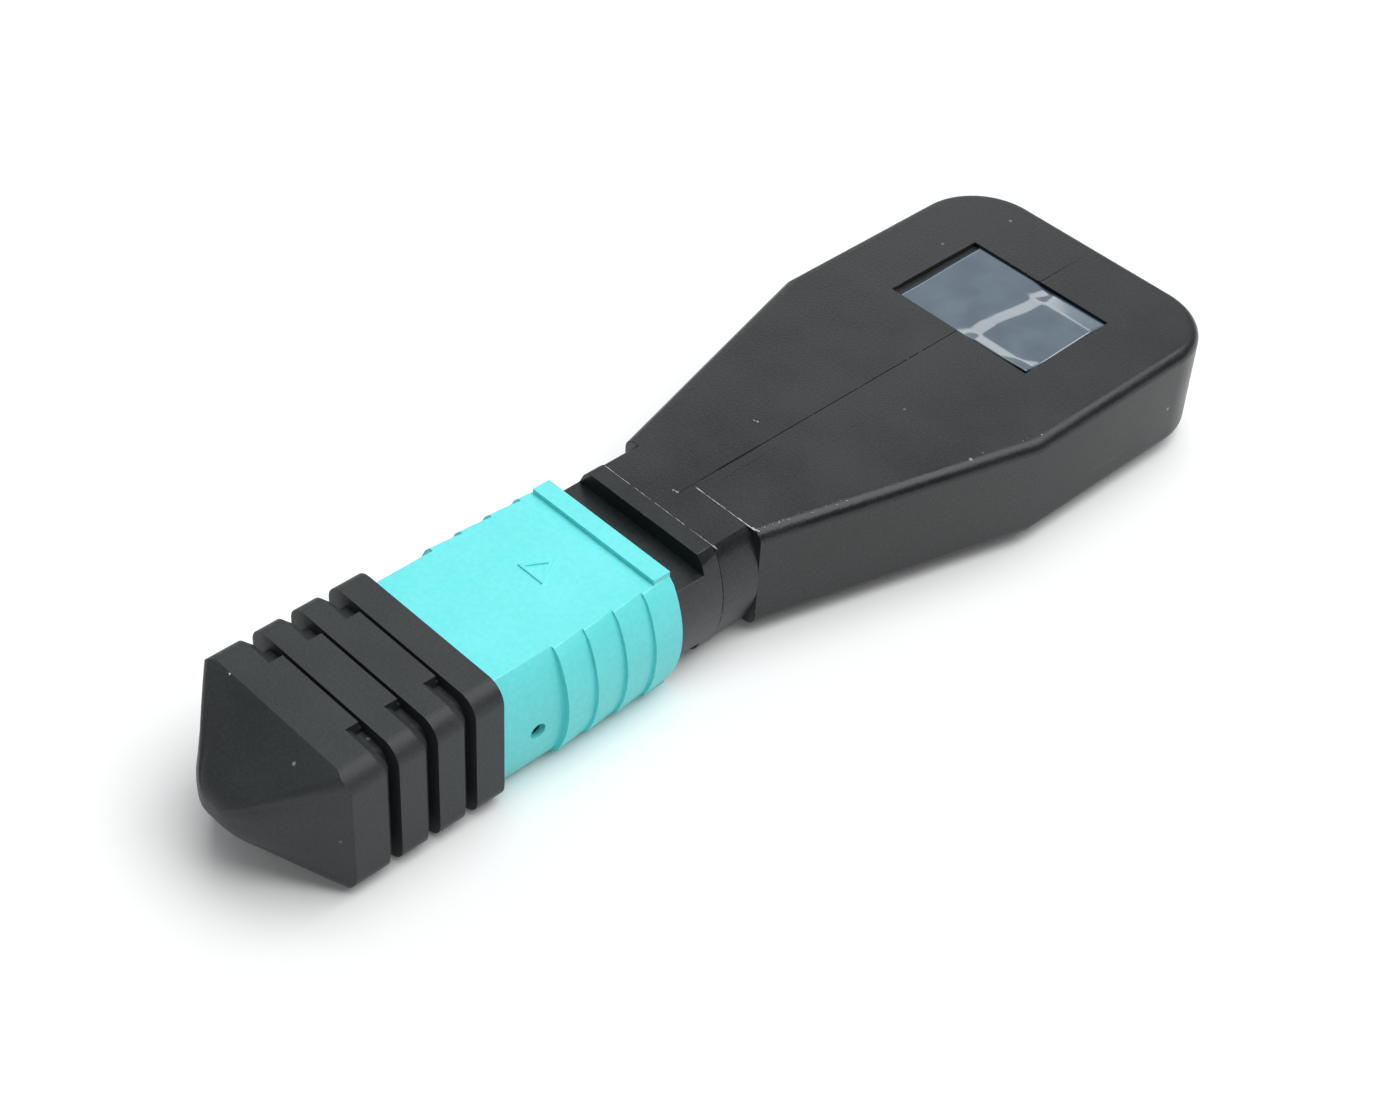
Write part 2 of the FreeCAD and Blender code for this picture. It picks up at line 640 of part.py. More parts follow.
def spring_push(doc, sizes):
    """Build the connector's rear body: collar, latch arms and the tail inside the neck."""
    body = new_body(doc, sizes, "spring_push")
    collar = cheeked_outline(section(body, -sizes.neck_length), sizes.collar_half_height, sizes.neck_flat,
                             sizes.neck_cheek, sizes.neck_corner, sizes.neck_bulge)
    pad(body, collar, sizes.joint_station - sizes.neck_length)
    for side in (1, -1):
        waist = section(body, -sizes.ridge_front)
        rectangle(waist, -2 * sizes.neck_bulge, side * sizes.waist_half_height,
                  2 * sizes.neck_bulge, side * sizes.collar_half_height * 2)
        pocket(body, waist, sizes.joint_station - sizes.ridge_front, reverse=True)
    insert = section(body, -sizes.joint_station)
    centred_rectangle(insert, sizes.insert_half_width, sizes.insert_half_height)
    pad(body, insert, sizes.insert_length)
    for side in (1, -1):
        arm = arm_outline(sketch_on(body, "YZ_Plane"), sizes, side)
        pad(body, arm, sizes.arm_half_width * 2, "Symmetric")
    turned(body, "Revolution", tail_outline(sketch_on(body, "XY_Plane"), sizes))
    slot = section(body, sizes.tail_end)
    centred_rectangle(slot, sizes.fibre_slot_half_width, sizes.fibre_slot_half_height)
    pocket(body, slot, sizes.tail_end + sizes.joint_station + sizes.insert_length, reverse=True)
    return body


def arm_outline(sketch, sizes, side):
    """Draw a latch arm and its hook as seen from the side."""
    root = -sizes.joint_station
    insert_front = root - sizes.insert_length
    tip = -sizes.arm_reach
    inner = sizes.arm_top - sizes.arm_thickness
    step = sizes.insert_half_height - sizes.overlap
    outline = Outline(sketch, root, side * step).line(root, side * sizes.arm_top)
    outline.line(tip + sizes.hook_length, side * sizes.arm_top)
    outline.line(tip + sizes.hook_length, side * sizes.hook_top)
    outline.line(tip + sizes.hook_length / 2, side * sizes.hook_top)
    outline.line(tip, side * sizes.arm_top).line(tip, side * inner)
    return outline.line(insert_front, side * inner).line(insert_front, side * step).close()


def tail_outline(sketch, sizes):
    """Draw half the section of the round tail and its trapped flange."""
    front = -sizes.neck_length - sizes.overlap
    flange_front = -sizes.tail_flange_front
    flange_rear = sizes.tail_flange_length - sizes.tail_flange_front
    outline = Outline(sketch, 0, front).line(sizes.tail_radius, front)
    outline.line(sizes.tail_radius, flange_front).line(sizes.tail_flange_radius, flange_front)
    outline.line(sizes.tail_flange_radius, flange_rear).line(sizes.tail_radius, flange_rear)
    return outline.line(sizes.tail_radius, sizes.tail_end).line(0, sizes.tail_end).close()


# --- inner housing --------------------------------------------------------------------------------

def inner_housing(doc, sizes):
    """Build the plug's inner housing with its key, latch pockets, spring channels and stop lugs."""
    body = new_body(doc, sizes, "inner_housing")
    length = sizes.plug_front - sizes.joint_station
    shell = section(body, -sizes.joint_station)
    centred_rectangle(shell, sizes.plug_half_width, sizes.plug_half_height)
    pad(body, shell, length)
    dressed(body, "Chamfer", sizes.plug_edge,
            lambda edge: edge.BoundBox.YLength > length.value - TINY)
    mouth = section(body, -sizes.chamber_front)
    centred_rectangle(mouth, sizes.mouth_half_width, sizes.mouth_half_height)
    pocket(body, mouth, sizes.plug_front - sizes.chamber_front, reverse=True)
    chamber = section(body, -sizes.joint_station)
    centred_rectangle(chamber, sizes.chamber_half_width, sizes.chamber_half_height)
    pocket(body, chamber, sizes.chamber_front - sizes.joint_station, reverse=True)
    key = section(body, -sizes.key_rear)
    rectangle(key, -sizes.key_half_width, sizes.plug_half_height - sizes.overlap,
              sizes.key_half_width, sizes.key_top)
    pad(body, key, sizes.plug_front - sizes.key_rear)
    for side in (1, -1):
        cut_side_features(body, sizes, side)
        add_top_features(body, sizes, side)
    return body


def cut_side_features(body, sizes, side):
    """Cut one cheek's latch pocket and spring channel, and add the lug behind the spring."""
    outside = side * sizes.plug_half_width * 2
    pocket_rear = sizes.latch_pocket_length - sizes.latch_pocket_front
    latch = section(body, pocket_rear)
    rectangle(latch, side * (sizes.plug_half_width - sizes.latch_pocket_depth),
              -sizes.latch_pocket_half_height, outside, sizes.latch_pocket_half_height)
    pocket(body, latch, sizes.latch_pocket_length, reverse=True)
    channel = section(body, -sizes.channel_rear)
    rectangle(channel, side * sizes.channel_floor, -sizes.channel_half_height,
              outside, sizes.channel_half_height)
    pocket(body, channel, sizes.channel_front - sizes.channel_rear, reverse=True)
    seat = section(body, -sizes.joint_station)
    rectangle(seat, side * (sizes.plug_half_width - sizes.overlap), -sizes.channel_half_height,
              side * sizes.seat_reach, sizes.channel_half_height)
    pad(body, seat, sizes.channel_rear - sizes.joint_station)


def add_top_features(body, sizes, side):
    """Cut one arm's slot and hook window, and add the stop lug, on the top or the bottom."""
    gap = sizes.window_clearance
    half_width = sizes.arm_half_width + gap
    slot = section(body, -sizes.joint_station)
    rectangle(slot, -half_width, side * (sizes.chamber_half_height - sizes.overlap),
              half_width, side * (sizes.arm_top + gap))
    pocket(body, slot, sizes.arm_reach + gap - sizes.joint_station, reverse=True)
    window = section(body, sizes.hook_length + gap - sizes.arm_reach)
    rectangle(window, -half_width, side * sizes.arm_top, half_width, side * (sizes.plug_half_height + gap))
    pocket(body, window, sizes.hook_length + gap * 2, reverse=True)
    lug = section(body, sizes.lug_length - sizes.lug_front)
    rectangle(lug, -sizes.lug_half_width, side * (sizes.plug_half_height - gap),
              sizes.lug_half_width, side * sizes.lug_top)
    pad(body, lug, sizes.lug_length)


# --- ferrule group --------------------------------------------------------------------------------

def mt_ferrule(doc, sizes):
    """Build the ferrule: guide holes, two rows of fibre holes, adhesive window and boot pocket."""
    body = new_body(doc, sizes, "mt_ferrule")
    rear = sizes.ferrule_length - sizes.tip_reach
    front = -sizes.tip_reach
    block = section(body, rear)
    centred_rectangle(block, sizes.ferrule_half_width, sizes.ferrule_half_height)
    pad(body, block, sizes.ferrule_length)
    flange = section(body, rear)
    centred_rectangle(flange, sizes.flange_half_width, sizes.flange_half_height)
    pad(body, flange, sizes.flange_length)
    holes_end = front + sizes.fibre_hole_depth
    passage = section(body, rear)
    centred_rectangle(passage, sizes.glue_window_half_width, sizes.glue_window_floor)
    pocket(body, passage, sizes.ferrule_length - sizes.fibre_hole_depth, reverse=True)
    boot_pocket = section(body, rear)
    centred_rectangle(boot_pocket, sizes.boot_pocket_half_width, sizes.boot_pocket_half_height)
    pocket(body, boot_pocket, sizes.boot_pocket_depth, reverse=True)
    window = section(body, holes_end + sizes.glue_window_length)
    rectangle(window, -sizes.glue_window_half_width, 0, sizes.glue_window_half_width,
              sizes.ferrule_half_height * 2)
    pocket(body, window, sizes.glue_window_length, reverse=True)
    guides = section(body, front)
    for side in (1, -1):
        circle(guides, side * sizes.guide_hole_offset, 0, sizes.guide_hole_radius)
    pocket(body, guides, sizes.ferrule_length)
    for level in (0.5, -0.5):
        drill_fibre_row(body, sizes, front, level * sizes.row_gap)
    return body


def drill_fibre_row(body, sizes, front, level):
    """Drill one row of fibre holes as a pattern of its first hole."""
    span = sizes.fibre_pitch * (FIBRES_PER_ROW - 1)
    first = section(body, front)
    hexagon(first, -span / 2, level, sizes.fibre_hole_radius)
    hole = pocket(body, first, sizes.fibre_hole_depth)
    row = body.newObject("PartDesign::LinearPattern", body.Name + "_row")
    row.Originals = [hole]
    row.Direction = (first, ["H_Axis"])
    row.Occurrences = FIBRES_PER_ROW
    bind(row, "Length", span)
    body.Tip = row
    body.Document.recompute()
    return row


def block_with_window(doc, sizes, name, rear, length, outer, inner):
    """Build a plain block with a window through it along Y; outer and inner are half sizes."""
    body = new_body(doc, sizes, name)
    shell = section(body, rear)
    centred_rectangle(shell, *outer)
    pad(body, shell, length)
    window = section(body, rear)
    centred_rectangle(window, *inner)
    pocket(body, window, length, reverse=True)
    return body


def ferrule_boot(doc, sizes):
    """Build the rubber boot that leads the fibres into the ferrule."""
    ferrule_rear = sizes.ferrule_length - sizes.tip_reach
    return block_with_window(doc, sizes, "ferrule_boot", ferrule_rear + sizes.boot_length - sizes.boot_inset,
                             sizes.boot_length, (sizes.boot_half_width, sizes.boot_half_height),
                             (sizes.boot_slot_half_width, sizes.boot_slot_half_height))


def pin_spacer(doc, sizes):
    """Build the spacer that stands where a male plug has its pin clamp."""
    ferrule_rear = sizes.ferrule_length - sizes.tip_reach
    return block_with_window(doc, sizes, "pin_spacer", ferrule_rear + sizes.spacer_length,
                             sizes.spacer_length, (sizes.flange_half_width, sizes.spacer_half_height),
                             (sizes.spacer_window_half_width, sizes.spacer_window_half_height))


def rod(stations):
    """Return the solid rod through stations, each a point and the radius of its section.

    Straight pieces meet in mitred joints; a point given twice makes a step between two radii.
    """
    points = [point for point, _radius in stations]
    rings = []
    heading = (points[1] - points[0]).normalize()
    aside = Vector(1, 0, 0) if abs(heading.x) < 0.5 else Vector(0, 0, 1)
    up = heading.cross(aside).normalize()
    aside = up.cross(heading)
    corners = [math.pi * 2 * number / WIRE_SIDES for number in range(WIRE_SIDES)]
    ring = [points[0] + (aside * math.cos(turn) + up * math.sin(turn)) * stations[0][1] for turn in corners]
    rings.append(ring)
    for index in range(1, len(stations)):
        point, radius = stations[index]
        if (point - points[index - 1]).Length < TINY:
            ring = [point + (corner - point) * (radius / stations[index - 1][1]) for corner in ring]
            rings.append(ring)
            continue
        heading = (point - points[index - 1]).normalize()
        onward = [later for later in points[index + 1:] if (later - point).Length > TINY]
        ahead = (onward[0] - point).normalize() if onward else heading
        across = heading + ahead
        ring = [corner + heading * ((point - corner).dot(across) / heading.dot(across)) for corner in ring]
        rings.append(ring)
    return skin(rings)


def skin(rings):
    """Return the solid between rings of corners, closed by its first and last ring."""
    faces = [flat_face(rings[0]), flat_face(rings[-1])]
    for first, second in zip(rings, rings[1:]):
        for number in range(WIRE_SIDES):
            after = (number + 1) % WIRE_SIDES
            faces.append(flat_face([first[number], first[after], second[after], second[number]]))
    shell = Part.Shell(faces)
    shell.sewShape()
    solid = Part.Solid(shell)
    if solid.Volume < 0:
        solid.reverse()
    return solid


def flat_face(corners):
    """Return the flat face with these corners."""
    return Part.Face(Part.makePolygon(corners + corners[:1]))


def coil_points(half_width, half_height, front, rear, turns):
    """Return points along a coil about the Y axis; an oval one has straight top and bottom runs."""
    flat = half_width - half_height
    slant = half_height * math.sqrt(0.5)
    quarter = [(flat, half_height), (flat + slant, slant), (half_width, 0), (flat + slant, -slant)]
    around = quarter + [(flat, -half_height)] * (flat > 0)
    around += [(-across, -up) for across, up in around]
    spots = around * int(turns) + around[:1]
    lengths = [math.hypot(after[0] - before[0], after[1] - before[1])
               for before, after in zip(spots, spots[1:])]
    rise = (rear - front) / sum(lengths)
    return [Vector(across, front + rise * sum(lengths[:number]), up)
            for number, (across, up) in enumerate(spots)]


def coil_spring(doc, sizes, name, coil, centre=0.0):
    """Build a coil spring; coil is (half width, half height, front, rear, turns, wire radius)."""
    half_width, half_height, front, rear, turns, wire = [as_size(item).value for item in coil]
    points = coil_points(half_width, half_height, front + wire, rear - wire, turns)
    spring = doc.addObject("Part::Feature", name)
    spring.Shape = rod([(point + Vector(centre, 0, 0), wire) for point in points])
    spring.Label = name
    place(spring, sizes)
    return spring


def ferrule_spring(doc, sizes):
    """Build the oval compression spring that pushes the ferrule forwards."""
    front = sizes.ferrule_length - sizes.tip_reach + sizes.spacer_length
    rear = -sizes.joint_station - sizes.insert_length
    return coil_spring(doc, sizes, "ferrule_spring", (
        sizes.ferrule_coil_half_width, sizes.ferrule_coil_half_height, front, rear,
        sizes.ferrule_spring_turns, sizes.ferrule_wire_radius))


def sleeve_spring(doc, sizes, name, side):
    """Build one of the two round springs that return the pull sleeve."""
    gap = sizes.seat_gap / 2
    return coil_spring(doc, sizes, name, (
        sizes.sleeve_spring_radius, sizes.sleeve_spring_radius, gap - sizes.channel_front,
        -sizes.channel_rear - gap, sizes.sleeve_spring_turns, sizes.sleeve_wire_radius),
        side * sizes.sleeve_spring_centre.value)


# --- fibres ---------------------------------------------------------------------------------------

def fibre_path(sizes, column, level):
    """Return the points of one fibre loop, from one glass tip round to the other.

    The six loops of a row are parallel curves, one fibre pitch apart; column counts them from the
    outermost.
    """
    inset = sizes.fibre_pitch.value * column
    offset = sizes.fibre_pitch.value * (FIBRES_PER_ROW - 1) / 2
    spread = sizes.spread_radius.value
    loop = sizes.loop_radius.value
    angle = math.radians(sizes.spread_angle.value)
    start = sizes.spread_start.value
    run = (loop * math.cos(angle) - offset - spread * (1 - math.cos(angle))) / math.sin(angle)
    centre = start + (spread + loop) * math.sin(angle) + run * math.cos(angle)
    right = []
    for step in range(BEND_STEPS + 1):
        turned_by = angle * step / BEND_STEPS
        right.append(Vector(offset + spread - (spread + inset) * math.cos(turned_by),
                            start + (spread + inset) * math.sin(turned_by), level))
    crown = []
    for step in range(LOOP_STEPS + 1):
        turned_by = angle - (math.pi + 2 * angle) * step / LOOP_STEPS
        crown.append(Vector((loop - inset) * math.cos(turned_by),
                            centre - (loop - inset) * math.sin(turned_by), level))
    left = [Vector(-point.x, point.y, point.z) for point in reversed(right)]
    return right + crown + left


def fibre_loop(doc, sizes, name, column, level):
    """Build one coated fibre with its two stripped ends in the ferrule."""
    path = fibre_path(sizes, column, level)
    glass, coating = sizes.glass_radius.value, sizes.coating_radius.value
    tip = -sizes.tip_reach.value
    strip = (sizes.strip_length - sizes.tip_reach).value
    ends = []
    for across in (path[0].x, path[-1].x):
        ends.append([(Vector(across, tip, level), glass), (Vector(across, strip, level), glass),
                     (Vector(across, strip, level), coating)])
    loop = doc.addObject("Part::Feature", name)
    loop.Shape = rod(ends[0] + [(point, coating) for point in path] + ends[1][::-1])
    loop.Label = name
    place(loop, sizes)
    return loop


def fibre_loops(doc, sizes):
    """Build every loop: six in each row, each joining two mirrored fibre holes."""
    loops = []
    for row in range(ROWS):
        level = sizes.row_gap.value * (0.5 - row)
        for column in range(FIBRES_PER_ROW // 2):
            name = "fibre_loop_%02d" % (len(loops) + 1)
            loops.append(fibre_loop(doc, sizes, name, column, level))
    return loops


# --- pull sleeve ----------------------------------------------------------------------------------

def pull_sleeve(doc, sizes):
    """Build the sliding sleeve with its stepped grip, rear lip and two-stage bore."""
    body = new_body(doc, sizes, "pull_sleeve")
    height = sizes.sleeve_half_height
    smooth = cheeked_outline(section(body, -sizes.grip_front), height, sizes.smooth_flat,
                             sizes.smooth_cheek, sizes.cheek_drop, sizes.smooth_bulge)
    pad(body, smooth, sizes.sleeve_front - sizes.grip_front)
    pitch = (sizes.grip_front - sizes.sleeve_rear) / sizes.grip_count
    for index in range(int(sizes.grip_count.value)):
        front = grip_section(body, sizes, index * pitch - sizes.grip_front, 0)
        rear = grip_section(body, sizes, (index + 1) * pitch - sizes.grip_front, sizes.grip_step)
        loft(body, front, rear)
    for side in (1, -1):
        lip = section(body, -sizes.sleeve_rear)
        rectangle(lip, -sizes.lip_flat, side * (height - sizes.overlap),
                  sizes.lip_flat, side * sizes.lip_half_height)
        pad(body, lip, sizes.lip_front - sizes.sleeve_rear)
        hole = sketch_on(body, "YZ_Plane")
        circle(hole, -sizes.pin_hole_station, -sizes.pin_hole_drop, sizes.pin_hole_radius)
        pocket(body, hole, sizes.grip_bulge, reverse=side > 0)
    cut_sleeve_bore(body, sizes)
    add_arrow(body, sizes)
    return body


def grip_section(body, sizes, station, inset):
    """Return a section of the grip, its cheeks drawn in by inset."""
    return cheeked_outline(section(body, station), sizes.sleeve_half_height, sizes.grip_flat - inset,
                           sizes.grip_cheek - inset, sizes.cheek_drop, sizes.grip_bulge - inset)


def cut_sleeve_bore(body, sizes):
    """Cut the plain front bore, the wider rear bore and the two slots for the stop lugs."""
    front_bore = section(body, -sizes.sleeve_rear)
    centred_rectangle(front_bore, sizes.bore_half_width, sizes.bore_half_height)
    pocket(body, front_bore, sizes.sleeve_front - sizes.sleeve_rear, reverse=True)
    rear_bore = cheeked_outline(section(body, -sizes.sleeve_rear), sizes.bore_half_height,
                                sizes.rear_bore_flat, sizes.rear_bore_cheek, sizes.rear_bore_corner,
                                sizes.rear_bore_bulge)
    pocket(body, rear_bore, sizes.channel_front - sizes.sleeve_rear, reverse=True)
    slot_rear = sizes.lug_length - sizes.lug_front + sizes.seat_gap / 2
    for side in (1, -1):
        slot = section(body, slot_rear)
        rectangle(slot, -sizes.stop_slot_half_width, side * (sizes.bore_half_height - sizes.overlap),
                  sizes.stop_slot_half_width, side * (sizes.bore_half_height + sizes.stop_slot_depth))
        pocket(body, slot, sizes.lug_length + sizes.sleeve_travel + sizes.seat_gap, reverse=True)


def add_arrow(body, sizes):
    """Raise the triangular arrow that shows the way to pull."""
    sketch = sketch_on(body, "XY_Plane", sizes.sleeve_half_height - sizes.overlap)
    base = -sizes.arrow_front
    tip = base + sizes.arrow_length
    half_width = sizes.arrow_half_width
    stroke = sizes.arrow_stroke
    Outline(sketch, -half_width, base).line(half_width, base).line(0, tip).close()
    inner_half = half_width - sizes.arrow_corner_inset
    Outline(sketch, -inner_half, base + stroke).line(inner_half, base + stroke) \
        .line(0, tip - sizes.arrow_tip_inset).close()
    pad(body, sketch, sizes.arrow_height + sizes.overlap)


# --- dust cap -------------------------------------------------------------------------------------

def dust_cap(doc, sizes):
    """Build the dust cap: blunt pyramid nose, bands parted by finger grooves, and keyed cavity."""
    body = new_body(doc, sizes, "dust_cap")
    add_nose(body, sizes)
    pad(body, cap_section(body, sizes, -sizes.cap_rear), sizes.cap_shoulder - sizes.cap_rear)
    for index in range(CAP_BANDS - 1):
        add_finger_groove(body, sizes, -sizes.cap_rear - sizes.cap_rear_band - index * sizes.cap_band_pitch)
    cavity = section(body, -sizes.cap_rear)
    centred_rectangle(cavity, sizes.bore_half_width, sizes.bore_half_height)
    pocket(body, cavity, sizes.cap_cavity_front - sizes.cap_rear, reverse=True)
    key_slot = section(body, -sizes.cap_rear)
    rectangle(key_slot, -sizes.key_slot_half_width, 0, sizes.key_slot_half_width, sizes.key_slot_top)
    pocket(body, key_slot, sizes.cap_cavity_front - sizes.cap_rear, reverse=True)
    return body


def on_tip(edge, station):
    """Tell whether an edge lies in the plane of the blunt tip."""
    return edge.BoundBox.YLength < TINY and abs(edge.BoundBox.YMin - station) < TINY


def add_finger_groove(body, sizes, rear):
    """Cut one finger groove ahead of a station: a C at each side, joined by thin slits."""
    for side in (1, -1):
        pocket(body, groove_outline(section(body, rear), sizes, side), sizes.groove_width, reverse=True)
    front = (rear - sizes.groove_width).value
    dressed(body, "Chamfer", sizes.groove_bevel, lambda edge: on_groove_rim(edge, sizes, front))
    for top, direction in ((sizes.cap_top, 1), (sizes.cap_bottom, -1)):
        slit = section(body, rear)
        rectangle(slit, -sizes.groove_inner_end, direction * (top - sizes.slit_depth),
                  sizes.groove_inner_end, direction * top * 2)
        pocket(body, slit, sizes.slit_width, reverse=True)


def on_groove_rim(edge, sizes, station):
    """Tell whether an edge is where a groove's front wall meets the cap's outer face."""
    box = edge.BoundBox
    if box.YLength > TINY or abs(box.YMin - station) > TINY:
        return False
    reach = max(abs(box.XMin), abs(box.XMax)) - sizes.groove_core_half_width.value
    rise = max(box.ZMax - sizes.groove_core_top.value, -box.ZMin - sizes.groove_core_bottom.value)
    at_inner_end = box.XLength < TINY and abs(abs(box.XMin) - sizes.groove_inner_end.value) < TINY
    return max(reach, rise) > TINY and not at_inner_end


def cap_section(body, sizes, station):
    """Return the cap's outer section at a station."""
    return rounded_rectangle(section(body, station), sizes.cap_half_width, -sizes.cap_bottom,
                             sizes.cap_top, sizes.cap_corner_radius)


def add_nose(body, sizes):
    """Add the blunt pyramid: a block whose four sides are cut away, with soft edges between them."""
    root, tip = -sizes.cap_shoulder, -sizes.nose_reach
    pad(body, cap_section(body, sizes, root), sizes.nose_reach - sizes.cap_shoulder)
    for rim, edge in ((sizes.cap_top, sizes.tip_top), (-sizes.cap_bottom, -sizes.tip_bottom)):
        side_view = Outline(sketch_on(body, "YZ_Plane"), root, rim).line(tip, edge).line(tip, rim * 2)
        pocket(body, side_view.line(root, rim * 2).close(), sizes.cap_half_width * 4, "Symmetric")
    for side in (1, -1):
        rim, edge = side * sizes.cap_half_width, side * sizes.tip_half_width
        plan_view = Outline(sketch_on(body, "XY_Plane"), rim, root).line(edge, tip).line(rim * 2, tip)
        pocket(body, plan_view.line(rim * 2, root).close(), sizes.cap_top * 4, "Symmetric")
    dressed(body, "Fillet", sizes.hip_radius, lambda shape_edge: on_hip(shape_edge, sizes))
    dressed(body, "Fillet", sizes.tip_radius, lambda shape_edge: on_tip(shape_edge, tip.value))


def on_hip(edge, sizes):
    """Tell whether an edge of the plain nose runs down from a corner to its tip."""
    box = edge.BoundBox
    return min(box.XLength, box.YLength, box.ZLength) > sizes.tip_bottom.value


def groove_outline(sketch, sizes, side):
    """Draw the C-shaped region of a finger groove on one end of the bands."""
    inner = side * sizes.groove_inner_end
    outer = side * sizes.cap_half_width * BEYOND
    high = sizes.cap_top * BEYOND
    width = side * sizes.groove_core_half_width
    top, bottom = sizes.groove_core_top, -sizes.groove_core_bottom
    radius = sizes.groove_core_radius
    bend = width - side * radius
    outline = Outline(sketch, inner, high).line(outer, high).line(outer, -high).line(inner, -high)
    outline.line(inner, bottom).line(bend, bottom).arc(width, bottom + radius, radius)
    return outline.line(width, top - radius).arc(bend, top, radius).line(inner, top).close()


# --- document -------------------------------------------------------------------------------------

def check(doc, pieces):
    """Stop unless every object is up to date and every sub-part is a valid solid."""
    for item in doc.Objects:
        if any(word in ("Invalid", "Error") for word in item.State):
            raise RuntimeError("%s has failed: %s" % (item.Name, item.State))
    for piece in pieces:
        if piece.Shape.isNull() or not piece.Shape.isValid() or not piece.Shape.Solids:
            raise RuntimeError("%s is not a valid solid" % piece.Label)


def main():
    """Build the document and write one STEP file for each sub-part."""
    doc = FreeCAD.newDocument("fibre_loopback")
    sizes = SizeSheet(doc)
    pieces = [
        housing_half(doc, sizes, "housing_half_right", 1),
        housing_half(doc, sizes, "housing_half_left", -1),
        label_film(doc, sizes),
        spring_push(doc, sizes),
        inner_housing(doc, sizes),
        mt_ferrule(doc, sizes),
        ferrule_boot(doc, sizes),
        pin_spacer(doc, sizes),
        ferrule_spring(doc, sizes),
        sleeve_spring(doc, sizes, "sleeve_spring_right", 1),
        sleeve_spring(doc, sizes, "sleeve_spring_left", -1),
        pull_sleeve(doc, sizes),
        dust_cap(doc, sizes),
    ]
    pieces += fibre_loops(doc, sizes)
    doc.recompute()
    check(doc, pieces)
    os.makedirs("parts", exist_ok=True)
    for piece in pieces:
        piece.Shape.exportStep("parts/%s.step" % piece.Label)
        print("%-20s %9.3f mm3" % (piece.Label, piece.Shape.Volume))


main()
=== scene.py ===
"""Looks of a fibre loopback plug: dust cap, aqua pull sleeve, black connector body and paddle housing."""
import logging
import math
from dataclasses import dataclass
from enum import Enum
from typing import Any, Callable, Iterable

import bmesh
import bpy
from bmesh.types import BMEdge, BMesh, BMVert
from bpy.types import Material, Node, NodeSocket, NodeTree, Object
from mathutils import Matrix, Vector


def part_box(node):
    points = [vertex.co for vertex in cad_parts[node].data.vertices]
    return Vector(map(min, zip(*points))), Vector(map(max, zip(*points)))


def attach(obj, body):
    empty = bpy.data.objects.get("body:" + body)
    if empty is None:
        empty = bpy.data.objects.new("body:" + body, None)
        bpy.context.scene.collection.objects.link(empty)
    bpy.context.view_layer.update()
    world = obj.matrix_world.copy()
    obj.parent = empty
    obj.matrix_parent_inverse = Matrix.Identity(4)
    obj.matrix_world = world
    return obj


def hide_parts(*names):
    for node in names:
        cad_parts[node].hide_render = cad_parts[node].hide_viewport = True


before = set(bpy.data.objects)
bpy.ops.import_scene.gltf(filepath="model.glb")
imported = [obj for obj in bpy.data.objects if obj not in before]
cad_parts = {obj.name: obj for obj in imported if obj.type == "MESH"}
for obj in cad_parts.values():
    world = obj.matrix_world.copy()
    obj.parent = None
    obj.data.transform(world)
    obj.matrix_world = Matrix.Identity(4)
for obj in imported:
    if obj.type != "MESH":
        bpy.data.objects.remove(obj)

log = logging.getLogger("loopback_plug")
MM = 0.001
WELD_MM = 0.0005
FLAT_DEGREES = 0.6
SHARP_DEGREES = 28.0
# Places along the plug in millimetres: the paddle's shoulder, and its joint with the collar.
SHOULDER = -1.15
NECK_JOINT = -3.85
# Radii along that joint in millimetres, and half the width of its flat top.
JOINT_RADIUS = 0.12
TOP_JOINT_RADIUS = 0.02
TOP_HALF_WIDTH = 4.4
ON_PLANE = 0.02
Lines = tuple[tuple[tuple[float, float, float], ...], ...]
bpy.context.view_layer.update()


# --- node helpers ---------------------------------------------------------------------------------

def linear(hex_colour: str) -> tuple[float, float, float, float]:
    """Turn an sRGB hex colour into the linear values, with full opacity, that Blender's sockets hold."""
    channels = [int(hex_colour[start:start + 2], 16) / 255 for start in (1, 3, 5)]
    return (*[c / 12.92 if c <= 0.04045 else ((c + 0.055) / 1.055) ** 2.4 for c in channels], 1.0)


def add_node(tree: NodeTree, kind: str, settings: dict[Any, Any] | None = None,
             links: dict[Any, NodeSocket] | None = None) -> Node:
    """Add one node to a tree.

    Args:
        tree: The material's, world's or geometry's node tree.
        kind: The node's type name.
        settings: Values by input name or number, or else by property name.
        links: Output sockets by input name or number.

    Returns:
        The new node.
    """
    node = tree.nodes.new(kind)
    for key, value in (settings or {}).items():
        if isinstance(key, str) and key not in node.inputs and hasattr(node, key):
            setattr(node, key, value)
    for key, value in (settings or {}).items():
        if isinstance(key, int) or key in node.inputs:
            node.inputs[key].default_value = value
    for key, socket in (links or {}).items():
        tree.links.new(socket, node.inputs[key])
    return node


def ramp(tree: NodeTree, factor: NodeSocket, low: float, high: float,
         start: float = 0.0, end: float = 1.0) -> NodeSocket:
    """Return a factor stretched so that low becomes start and high becomes end, level beyond both."""
    node = add_node(tree, "ShaderNodeMapRange", {1: low, 2: high, 3: start, 4: end}, {0: factor})
    return node.outputs[0]


def noise(tree: NodeTree, place: NodeSocket, scale: float, detail: float,
          roughness: float = 0.5) -> NodeSocket:
    """Return the factor of a noise pattern, whose scale is in waves per unit of its coordinates."""
    settings = {"Scale": scale, "Detail": detail, "Roughness": roughness}
    return add_node(tree, "ShaderNodeTexNoise", settings, {"Vector": place}).outputs["Fac"]


def combine(tree: NodeTree, operation: str, first: NodeSocket, second: NodeSocket) -> NodeSocket:
    """Return the result of a maths operation on two factors."""
    return add_node(tree, "ShaderNodeMath", {"operation": operation}, {0: first, 1: second}).outputs[0]


